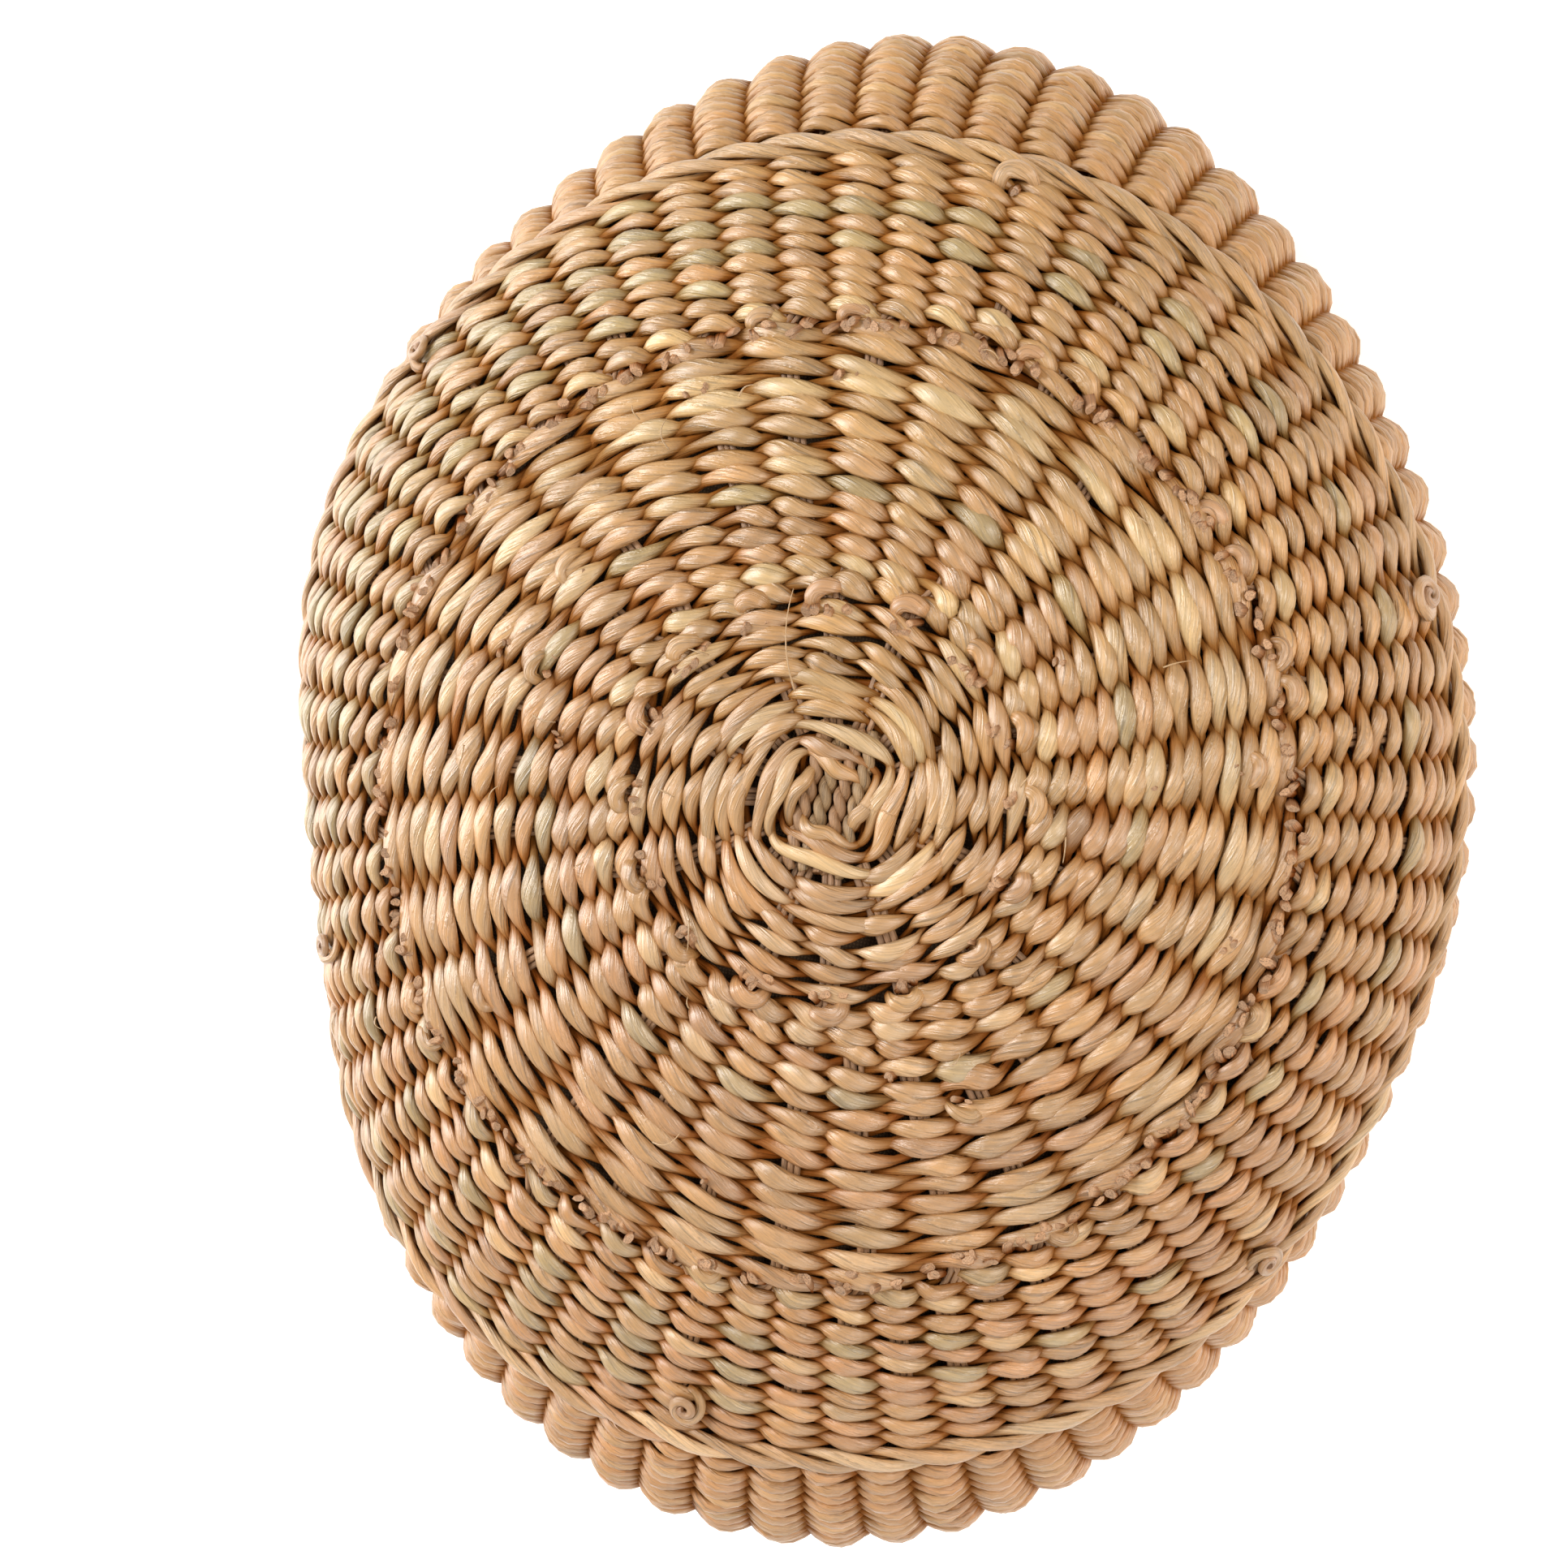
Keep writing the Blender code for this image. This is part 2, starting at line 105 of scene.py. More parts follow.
# plan angle in degrees, level and size of each loose strand end by the shoulder
CURLS = ((84.5, 184.0, 4.0), (31.5, 184.0, 5.7), (144.5, 188.0, 4.5), (207.5, 164.0, 4.5),
         (268.5, 178.5, 4.7), (326.5, 186.0, 4.6))


def placed(name, data):
    """A new object in the scene."""
    made = bpy.data.objects.new(name, data)
    bpy.context.scene.collection.objects.link(made)
    return made


def srgb(r, g, b):
    """A colour given in 0-255 sRGB, as linear light."""
    c = np.array([r, g, b], float) / 255
    return np.where(c <= 0.04045, c / 12.92, ((c + 0.055) / 1.055) ** 2.4)


STRAW = srgb(187, 142, 87)
HONEY = srgb(184, 134, 76)
ROSY = srgb(187, 137, 86)
CREAM = srgb(208, 172, 121)
OLIVE = srgb(166, 141, 93)
SAGE = srgb(178, 153, 106)
STEM_BROWN = srgb(174, 128, 86)
# partly the cut stems' own brown and partly painted shade for the recess the cut ends sit in
KNOT_BROWN = srgb(164, 114, 70)
CUT_PALE = srgb(202, 162, 125)
RUSHES = (STRAW, HONEY, ROSY, CREAM, OLIVE, SAGE)
SHADE = np.array([0.45, 0.245, 0.09])    # painted shade: what is left of each colour deep between the strands
SHADE_LOW = -4.4
SHADE_HIGH = -1.5
OLIVE_SIDE = math.radians(135)          # the greener rushes lie mostly on this side
GOLDEN_SIDE = math.radians(85)          # and the yellower ones here
GOLDEN_DRIFT = np.array([-0.01, 0.01, -0.07])
PLAIN_CAST = np.ones(3)                 # the crown's middle keeps its colour and is the palest; the outer rounds and the side are tinted warmer
OUTER_CAST = np.array([1.0, 0.955, 0.86])
SIDE_CAST = np.array([1.02, 0.965, 0.84])


# ------------------------------ surfaces
class Skin:
    """Points over an even grid of level and plan angle, with the way out of the pad at each."""

    def __init__(self, levels, points, outward_at_start):
        self.levels = levels
        self.points = points
        self.count = points.shape[0]
        along = np.gradient(points, axis=1)
        around = (np.roll(points, -1, axis=0) - np.roll(points, 1, axis=0)) / 2
        normals = np.cross(along, around)
        size = np.linalg.norm(normals, axis=2, keepdims=True)
        normals = np.where(size > 1e-9, normals / np.maximum(size, 1e-12), outward_at_start)
        if normals[0, 3] @ outward_at_start < 0:
            normals = -normals
        normals[:, 0] = outward_at_start
        self.normals = normals

    def _read(self, table, level, angle):
        column = (np.asarray(angle) % TAU) / TAU * self.count
        row = (np.asarray(level) - self.levels[0]) / (self.levels[1] - self.levels[0])
        row = np.clip(row, 0, len(self.levels) - 1.001)
        c0 = np.floor(column).astype(int)
        r0 = np.floor(row).astype(int)
        fc = (column - c0)[..., None]
        fr = (row - r0)[..., None]
        c0 %= self.count
        c1 = (c0 + 1) % self.count
        first = table[c0, r0] * (1 - fr) + table[c0, r0 + 1] * fr
        second = table[c1, r0] * (1 - fr) + table[c1, r0 + 1] * fr
        return first * (1 - fc) + second * fc

    def normal(self, level, angle):
        n = self._read(self.normals, level, angle)
        return n / np.linalg.norm(n, axis=-1, keepdims=True)

    def at(self, level, angle, height=0.0):
        base = self._read(self.points, level, angle)
        return base + self.normal(level, angle) * np.asarray(height)[..., None]


def plan_radius(angle):
    """Distance from the middle to the widest line."""
    turned = np.asarray(angle) - LEAN
    oval = 1 / np.hypot(np.cos(turned) / (WIDTH / 2), np.sin(turned) / (LENGTH / 2))
    uneven = SKEW_SIN3 * np.sin(3 * angle) + SQUARE_COS4 * np.cos(4 * angle)
    return oval * (1 + uneven + SQUARE_SIN4 * np.sin(4 * angle) + FLAT_SIN5 * np.sin(5 * angle))


def meridian(angle):
    """Arc length, radius and height down one side, and its widest radius."""
    radius = plan_radius(angle)
    crown = np.linspace(0, 1, 500) ** 1.3 * math.pi / 2
    sine = np.clip(np.sin(crown), 0, 1) ** (2 / DOME_POWER)
    cosine = np.clip(np.cos(crown), 0, 1) ** (2 / DOME_POWER)
    lower = np.linspace(0, math.pi / 2, 200)[1:]
    r = np.concatenate([radius * sine, radius - FOOT_INSET * (1 - np.cos(lower))])
    z = np.concatenate([FOOT_INSET + DOME_DEPTH * cosine, FOOT_INSET * (1 - np.sin(lower))])
    arc = np.concatenate([[0.0], np.cumsum(np.hypot(np.diff(r), np.diff(z)))])
    return arc, r, z, radius


def dome_skin():
    """The crown and side as one surface, from the weave's centre to the foot."""
    levels = np.arange(0, FOOT_LEVEL + 0.25, 0.5)
    angles = np.arange(720) / 720 * TAU
    points = np.zeros((len(angles), len(levels), 3))
    for i, angle in enumerate(angles):
        arc, r, z, radius = meridian(angle)
        drift = 1 + RING_DRIFT_X * math.cos(angle) + RING_DRIFT_Y * math.sin(angle)
        shoulder = SHOULDER * drift + SHOULDER_OUT + SHOULDER_OVAL * math.cos(2 * (angle - SHOULDER_TURN))
        along = np.interp(levels, [0, SECOND_RING, SHOULDER, FOOT_LEVEL],
                          [0, SECOND_RING * drift, shoulder, arc[-1]])
        here_r = np.interp(along, arc, r)
        here_z = np.interp(along, arc, z)
        pull = np.where(here_z >= FOOT_INSET, np.clip(1 - (here_r / radius) ** 2, 0, 1), 0)
        points[i, :, 0] = here_r * math.cos(angle) + POLE_X * pull
        points[i, :, 1] = here_r * math.sin(angle) + POLE_Y * pull
        points[i, :, 2] = here_z
    return Skin(levels, points, np.array([0.0, 0.0, 1.0]))


def underside_skin():
    """The flat underside; a level is millimetres from the middle along the short axis."""
    reach = WIDTH / 2 - UNDERSIDE_EDGE
    levels = np.arange(0, reach + 2.0, 0.5)
    angles = np.arange(720) / 720 * TAU
    edge = plan_radius(angles) - UNDERSIDE_EDGE
    radius = edge[:, None] * levels[None, :] / reach
    points = np.zeros((len(angles), len(levels), 3))
    points[..., 0] = radius * np.cos(angles)[:, None]
    points[..., 1] = radius * np.sin(angles)[:, None]
    return Skin(levels, points, np.array([0.0, 0.0, -1.0]))


# ------------------------------ mesh store
class Store:
    """Collects tubes and turns them into one mesh object with strand coordinates and a tint. The tint's
    alpha is how open the point is to the light."""

    def __init__(self):
        self.verts, self.quads, self.fans = [], [], []
        self.straight, self.tint = [], []
        self.total = 0

    def tube(self, centre, side, up, widths, thicks, tint, sides=10, closed=False, twist=0.11,
             rng=None, ridge=0.08, height=None):
        """A strand: elliptical sections along a line of centres. Height is the centres' height
        against the outer surface; what lies deep gets painted shade, tinted darker towards SHADE."""
        n = len(centre)
        turn = np.arange(sides) / sides * TAU
        step = np.linalg.norm(np.diff(centre, axis=0), axis=1)
        along = np.concatenate([[0.0], np.cumsum(step)])
        spin = along * twist
        if closed:
            whole = along[-1] + np.linalg.norm(centre[0] - centre[-1])
            spin = along * (round(whole * twist / TAU) * TAU / whole)
        phase = rng.uniform(0, TAU, 3) if rng is not None else np.zeros(3)
        fibre = turn[None, :] + spin[:, None]
        swell = 1 + ridge * np.sin(2 * fibre + phase[0]) + 0.6 * ridge * np.sin(3 * fibre + phase[1])
        ca = np.cos(turn)[None, :, None] * swell[..., None]
        sa = np.sin(turn)[None, :, None] * swell[..., None]
        points = (centre[:, None, :] + side[:, None, :] * widths[:, None, None] * ca
                  + up[:, None, :] * thicks[:, None, None] * sa)
        shift = 1000 * rng.uniform(0, 1) if rng is not None else 0.0
        straight = np.empty((n, sides, 3))
        straight[..., 0] = along[:, None] + shift
        straight[..., 1] = 2.2 * np.cos(fibre) + shift
        straight[..., 2] = 2.2 * np.sin(fibre)
        base = self.total
        i = np.arange(n if closed else n - 1)
        j = (i + 1) % n
        s = np.arange(sides)
        t = (s + 1) % sides
        a = base + i[:, None] * sides + s[None, :]
        b = base + i[:, None] * sides + t[None, :]
        c = base + j[:, None] * sides + t[None, :]
        d = base + j[:, None] * sides + s[None, :]
        self.quads.append(np.stack([a, b, c, d], axis=-1).reshape(-1, 4))
        self.verts.append(points.reshape(-1, 3))
        self.straight.append(straight.reshape(-1, 3))
        lit = np.ones((n, sides))
        if height is not None:
            lit = open_share(height[:, None] + thicks[:, None] * sa[..., 0])
        lit = lit[..., None]
        # painted shade: the colour darkens towards SHADE where the point lies deep, and the alpha keeps how
        # open it is to the light
        colour = np.concatenate([tint[:, None, :] * (SHADE * (1 - lit) + lit), lit], axis=-1)
        self.tint.append(colour.reshape(-1, 4))
        self.total += n * sides
        if not closed:
            last = base + (n - 1) * sides
            self._cap(centre[0], base, sides, straight[0], colour[0].mean(axis=0), True)
            self._cap(centre[-1], last, sides, straight[-1], colour[-1].mean(axis=0), False)

    def _cap(self, point, first, sides, straight, tint, start):
        tip = self.total
        self.verts.append(point[None, :])
        self.straight.append(straight.mean(axis=0)[None, :])
        self.tint.append(tint[None, :])
        self.total += 1
        s = np.arange(sides)
        t = (s + 1) % sides
        one, other = (t, s) if start else (s, t)
        self.fans.append(np.stack([first + one, first + other, np.full(sides, tip)], axis=-1))

    def build(self, name, material):
        """One object in metres."""
        verts = np.concatenate(self.verts) * MM
        quads = np.concatenate(self.quads)
        fans = np.concatenate(self.fans) if self.fans else np.zeros((0, 3), int)
        mesh = bpy.data.meshes.new(name)
        mesh.vertices.add(len(verts))
        mesh.vertices.foreach_set("co", verts.astype(np.float32).ravel())
        loops = np.concatenate([quads.ravel(), fans.ravel()]).astype(np.int32)
        mesh.loops.add(len(loops))
        mesh.loops.foreach_set("vertex_index", loops)
        mesh.polygons.add(len(quads) + len(fans))
        starts = np.concatenate([np.arange(len(quads)) * 4, len(quads) * 4 + np.arange(len(fans)) * 3])
        mesh.polygons.foreach_set("loop_start", starts.astype(np.int32))
        mesh.update(calc_edges=True)
        smooth = np.arange(len(mesh.polygons)) < len(quads)
        mesh.polygons.foreach_set("use_smooth", smooth)
        strand = mesh.attributes.new("straight", "FLOAT_VECTOR", "POINT")
        strand.data.foreach_set("vector", np.concatenate(self.straight).astype(np.float32).ravel())
        colour = mesh.attributes.new("tint", "FLOAT_COLOR", "POINT")
        colour.data.foreach_set("color", np.concatenate(self.tint).astype(np.float32).ravel())
        mesh.validate()
        mesh.materials.append(material)
        return placed(name, mesh)


def eased(share):
    """A smooth step over shares from 0 to 1."""
    return share * share * (3 - 2 * share)


def open_share(height):
    """How open a point is to the light: 0 deep between the strands and 1 on top of them."""
    return eased(np.clip((height - SHADE_LOW) / (SHADE_HIGH - SHADE_LOW), 0, 1))


def frames(centre, normals, closed):
    """Side and up directions across a line of centres, with up near the surface's normal."""
    if closed:
        tangent = np.roll(centre, -1, axis=0) - np.roll(centre, 1, axis=0)
    else:
        tangent = np.gradient(centre, axis=0)
    tangent /= np.linalg.norm(tangent, axis=1, keepdims=True)
    side = np.cross(tangent, normals)
    side /= np.linalg.norm(side, axis=1, keepdims=True)
    return side, np.cross(side, tangent)


# ------------------------------ randomness that closes on itself
def wobble(rng, angle, low, high, size):
    """A smooth closed wave of random harmonics."""
    total = np.zeros_like(angle)
    for k in range(low, high):
        total += rng.normal() * np.sin(k * angle + rng.uniform(0, TAU))
    return size * total / math.sqrt((high - low) / 2)


def per_stitch(rng, phase, count, size):
    """A random value for each stitch, eased from one stitch to the next. Phase counts stitches."""
    values = rng.normal(0, size, count)
    near = np.floor(phase).astype(int)
    share = eased(phase - near)
    return values[near % count] * (1 - share) + values[(near + 1) % count] * share


def strand_tint(rng, angle, stitch, stitches, green, calm=0.0):
    """Colour along one strand: rushes spliced one after another, each join behind a stake. Green is the
    share of greener rushes, and calm evens them all."""
    count = max(stitches // 2, 2)
    number = np.floor(stitch + 0.5).astype(int) % count
    middle = np.linspace(0, TAU, count, endpoint=False)
    near_olive = 0.05 + 0.95 * np.clip(np.cos(middle - OLIVE_SIDE), 0, 1)
    share = green * near_olive
    colours = np.zeros((count, 3))
    left = 0
    for k in range(count):
        if left <= 0:
            weights = np.array([0.40, 0.22, 0.16, 0.15, 0.55 * share[k], 0.45 * share[k]])
            pick = rng.choice(len(RUSHES), 2, p=weights / weights.sum())
            mix = rng.uniform(0, 0.4)
            rush_colour = RUSHES[pick[0]] * (1 - mix) + RUSHES[pick[1]] * mix
            left = int(rng.integers(4, 14))
        colours[k] = rush_colour * (1 + rng.normal(0, 0.07))
        left -= 1
    colours = colours * (1 - calm) + (0.45 * STRAW + 0.55 * HONEY) * calm
    golden = np.cos(middle - GOLDEN_SIDE)[:, None]
    return (colours * (1 + golden * GOLDEN_DRIFT))[number]


# ------------------------------ weaving
def slant(theta):
    """A strand's swing across its row: nearly straight over each stake, turning back behind the next."""
    return 0.3 * np.sin(theta) + 0.7 * np.arcsin(0.985 * np.sin(theta)) * 2 / math.pi


def twined_row(store, skin, rng, level, stakes, pitch, steps, rise, belly, thick=1.6, mid=STAKE_LEVEL,
               flat=0.9, green=0.1, shape=None, sides=10, offset=None, lean=0.31, tip=0.19, bow=0.0,
               jitter=1.0, calm=0.0, cast=PLAIN_CAST):
    """Two strands twined round the stakes: each rises over every second stake and dips behind the next.
    Every stitch is a slanting leaf, broad over its stake and narrow where it goes under."""
    samples = stakes * steps
    angle = np.arange(samples) / samples * TAU
    start = math.pi / stakes if offset is None else offset
    drift = wobble(rng, angle, 2, 9, 0.28 * jitter)
    count = stakes // 2
    for strand in (0, 1):
        theta = stakes * (angle - start) / 2 + math.pi * strand
        stitch = theta / TAU
        skewed = theta + 0.28 * per_stitch(rng, stitch, count, jitter) * np.cos(theta)
        out = np.cos(skewed)
        show = np.clip(out, 0, 1)
        spread = pitch * lean * (1 + per_stitch(rng, stitch, count, 0.12 * jitter))
        here = level + drift + spread * slant(skewed)
        here = here + bow * pitch * (show - 0.5) + per_stitch(rng, stitch, count, 0.055 * pitch * jitter)
        if shape is not None:
            here = here * shape(angle, level)
        height = mid + rise * np.sign(out) * np.abs(out) ** flat
        height = height + per_stitch(rng, stitch, count, 0.22 * jitter)
        fat = 1 + per_stitch(rng, stitch, count, 0.11 * jitter)
        width = tip * pitch + (belly - tip * pitch) * show ** 0.85 * fat
        depth = thick * (0.78 + 0.22 * show)
        centre = skin.at(here, angle, height)
        side, up = frames(centre, skin.normal(here, angle), True)
        tint = strand_tint(rng, angle, stitch, stakes, green, calm) * cast
        store.tube(centre, side, up, width, depth, tint, sides=sides, closed=True, rng=rng, height=height)


def rope_row(store, skin, rng, level, stakes, lift, spread, width, thick, mid, steps=6, green=0.05, span=3):
    """Three strands laid round one another: long slanting stitches over two stakes and behind one."""
    samples = stakes * steps
    angle = np.arange(samples) / samples * TAU
    turns = stakes // span
    for strand in range(3):
        theta = turns * angle + TAU * strand / 3
        here = level + spread * np.sin(theta) + wobble(rng, angle, 2, 7, 0.2)
        height = mid + lift * np.cos(theta)
        centre = skin.at(here, angle, height)
        side, up = frames(centre, skin.normal(here, angle), True)
        show = np.clip(np.cos(theta) * 0.8 + 0.2, 0, 1)
        fat = 1 + per_stitch(rng, theta / TAU, turns, 0.08)
        tint = strand_tint(rng, angle, theta / TAU, 2 * turns, green)
        store.tube(centre, side, up, width * (0.62 + 0.38 * show) * fat, thick * (0.85 + 0.15 * show), tint,
                   closed=True, rng=rng, height=height)


def stake_angle(home, level):
    """A stake's plan angle: it moves aside where a new one is pushed in beside it. Home is its plan angle
    at the start and the side, -1, 0 or 1, that it moves to at each ring."""
    middle, first_side, second_side = home
    first = eased(np.clip((level - FIRST_RING + 2) / 14, 0, 1))
    second = eased(np.clip((level - SECOND_RING + 2) / 12, 0, 1))
    first_shift = first_side * first * math.pi / MIDDLE_STAKES
    return middle + first_shift + second_side * second * math.pi / OUTER_STAKES


def stem_bundle(store, skin, rng, home, start, end, stems, step=5.0, height=STAKE_LEVEL):
    """Thin parallel stems of one stake, running out from start to end."""
    levels = np.linspace(start, end, max(int((end - start) / step), 4))
    angle = stake_angle(home, levels)
    for i in range(stems):
        lateral = (i - (stems - 1) / 2) * STEM_SPACING
        lateral = lateral + wobble(rng, levels / 60, 1, 4, 0.12)
        base = skin.at(levels, angle, height + rng.normal(0, 0.12))
        normal = skin.normal(levels, angle)
        side, _ = frames(base, normal, False)
        centre = base + side * lateral[:, None]
        side, up = frames(centre, normal, False)
        radius = STEM_RADIUS * rng.uniform(0.85, 1.12)
        tint = STEM_BROWN * rng.uniform(0.75, 1.15) * np.ones((len(levels), 1))
        size = np.full(len(levels), radius)
        store.tube(centre, side, up, size, size, tint, sides=6, twist=0.02, rng=rng, ridge=0.0)


def local_axes(skin, level, angle):
    """The way out of the surface, towards the weave's centre and across, at one place."""
    normal = skin.normal(level, angle)
    inward = skin.at(level - 2, angle) - skin.at(level, angle)
    inward -= normal * (inward @ normal)
    inward /= np.linalg.norm(inward)
    return normal, inward, np.cross(normal, inward)


def cut_cluster(store, skin, rng, level, angle, ends=3, reach=3.6, spread=1.7, size=1.0):
    """The cut ends of stems where a new stake was pushed in: short stubs that lean out of the weave."""
    normal, inward, across = local_axes(skin, level, angle)
    base = skin.at(level, angle, STAKE_LEVEL)
    steps = np.linspace(0, 1, 6)
    for i in range(ends):
        lateral = (i - (ends - 1) / 2) * spread + rng.normal(0, 0.3)
        direction = normal * 0.8 + inward * rng.uniform(0.2, 1.1) + across * rng.normal(0, 0.4)
        direction /= np.linalg.norm(direction)
        long = reach + rng.normal(0, 0.6)
        bend = across * rng.normal(0, 0.5)
        foot = base + across * lateral + inward * rng.normal(0, 0.7)
        centre = foot + direction * (steps * long)[:, None] + bend * (steps * (1 - steps) * 3)[:, None]
        turned = rng.uniform(0, math.pi)
        side = inward * math.cos(turned) + across * math.sin(turned)
        side = side - direction * (side @ direction)
        side = np.repeat((side / np.linalg.norm(side))[None, :], len(steps), axis=0)
        up = np.cross(side, direction)
        broad = size * rng.uniform(0.7, 1.15) * (1 - 0.15 * steps ** 4)
        thin = size * rng.uniform(0.45, 0.8) * (1 - 0.15 * steps ** 4)
        tint = KNOT_BROWN * rng.uniform(0.8, 1.15) * np.ones((len(steps), 1))
        tint[-1:] = (KNOT_BROWN + CUT_PALE) * rng.uniform(0.38, 0.58)
        store.tube(centre, side, up, broad, thin, tint, sides=9, twist=0.02, rng=rng, ridge=0.14,
                   height=STAKE_LEVEL + steps * long)


def arched_strand(store, skin, rng, level, angle, half_span, reach, width, thick=1.7, lift=-1.2,
                  colour=STRAW):
    """A strand bent round the outer side of a bundle of cut ends. One end hooks in beside them, the other
    runs on along its round, and both go down between the rows."""
    normal, inward, across = local_axes(skin, level, angle)
    t = np.linspace(-1, 1, 30)
    hook = np.clip(t, 0, 1)
    tail = np.clip(-t, 0, 1)
    turned = rng.normal(0.1, 0.22)
    swing = hook * math.radians(rng.uniform(80, 118)) - tail * math.radians(78)
    out_x = half_span * np.sin(swing) - tail ** 2 * half_span * rng.uniform(0.35, 0.8)
    out_y = reach * np.cos(swing)
    dive = np.clip((hook - 0.5) / 0.5, 0, 1) ** 2 + np.clip((tail - 0.45) / 0.55, 0, 1) ** 2
    rise = lift - 4.2 * dive
    x = out_x * math.cos(turned) - out_y * math.sin(turned)
    y = out_x * math.sin(turned) + out_y * math.cos(turned)
    centre = skin.at(level, angle) - across * x[:, None] - inward * y[:, None] + normal * rise[:, None]
    side, up = frames(centre, np.repeat(normal[None, :], len(t), axis=0), False)
    widths = width * (1 - 0.30 * hook ** 1.6 - 0.55 * tail ** 1.8)
    tint = np.repeat((colour * rng.uniform(0.88, 1.08))[None, :], len(t), axis=0)
    store.tube(centre, side, up, widths, thick * widths / width, tint, sides=10, rng=rng, height=rise)


def float_strand(store, skin, rng, middle, level, half_length, turn, width, bow=1.2, lift=-2.0,
                 colour=STRAW):
    """One long stitch that lies over the weave and dips at both ends. Turn is its slant from the round."""
    normal, inward, across = local_axes(skin, level, middle)
    t = np.linspace(-1, 1, 30)
    along = -across * math.cos(turn) - inward * math.sin(turn)
    rise = lift - 3.6 * np.abs(t) ** 3.2
    centre = (skin.at(level, middle) + along * (half_length * t)[:, None]
              - inward * (bow * (1 - t * t))[:, None] + normal * rise[:, None])
    side, up = frames(centre, np.repeat(normal[None, :], len(t), axis=0), False)
    widths = width * (1 - 0.55 * np.abs(t) ** 2.2)
    tint = np.repeat((colour * rng.uniform(0.92, 1.08))[None, :], len(t), axis=0)
    store.tube(centre, side, up, widths, np.full(len(t), 1.35), tint, sides=10, rng=rng, height=rise)


def curled_end(store, skin, rng, level, angle, size, turns, width, begin, colour=STRAW):
    """A strand end rolled into a flat spiral that lies on the weave, its cut end in the middle."""
    normal, inward, across = local_axes(skin, level, angle)
    base = skin.at(level, angle, 0.2)
    t = np.linspace(0, 1, 54)
    swing = begin + t ** 0.85 * turns * TAU
    radius = size * (1 - 0.88 * t)
    rise = 1.1 * t - 3.6 * np.clip(0.16 - t, 0, 1) / 0.16
    centre = (base + across * (radius * np.cos(swing))[:, None] + inward * (radius * np.sin(swing))[:, None]
              + normal * rise[:, None])
    side, up = frames(centre, np.repeat(normal[None, :], len(t), axis=0), False)
    widths = width * (1.0 - 0.42 * t)
    tint = colour + t[:, None] * (KNOT_BROWN - colour)
    store.tube(centre, side, up, widths, widths * 0.85, tint, sides=9, rng=rng, height=rise - 0.6)


def stray_fibre(store, skin, rng, level, angle, heading, length, bend=0.15, lift=1.0):
    """One thin fibre that has worked loose and lies over the weave."""
    t = np.linspace(0, 1, 14)
    normal = skin.normal(level, angle)
    base = skin.at(level, angle, lift)
    radial = skin.at(level + 2, angle, lift) - base
    radial /= np.linalg.norm(radial)
    across = np.cross(normal, radial)
    direction = radial * math.cos(heading) + across * math.sin(heading)
    sideways = np.cross(normal, direction)
    aside = bend * length * (t - t * t) * 2
    rise = 1.2 * np.sin(t * math.pi) + rng.normal(0, 0.1)
    centre = (base + direction * (t * length)[:, None] + sideways * aside[:, None]
              + normal * rise[:, None])
    side, up = frames(centre, np.repeat(normal[None, :], len(t), axis=0), False)
    radius = np.linspace(0.26, 0.13, len(t))
    tint = np.repeat((CREAM * 0.6 + HONEY * 0.4)[None, :], len(t), axis=0)
    store.tube(centre, side, up, radius, radius, tint, sides=5, twist=0.0, rng=rng, ridge=0.0)


# ------------------------------ materials
def link(tree, a, b):
    tree.links.new(a, b)


def node(tree, kind, **values):
    made = tree.nodes.new(kind)
    for key, value in values.items():
        setattr(made, key, value)
    return made


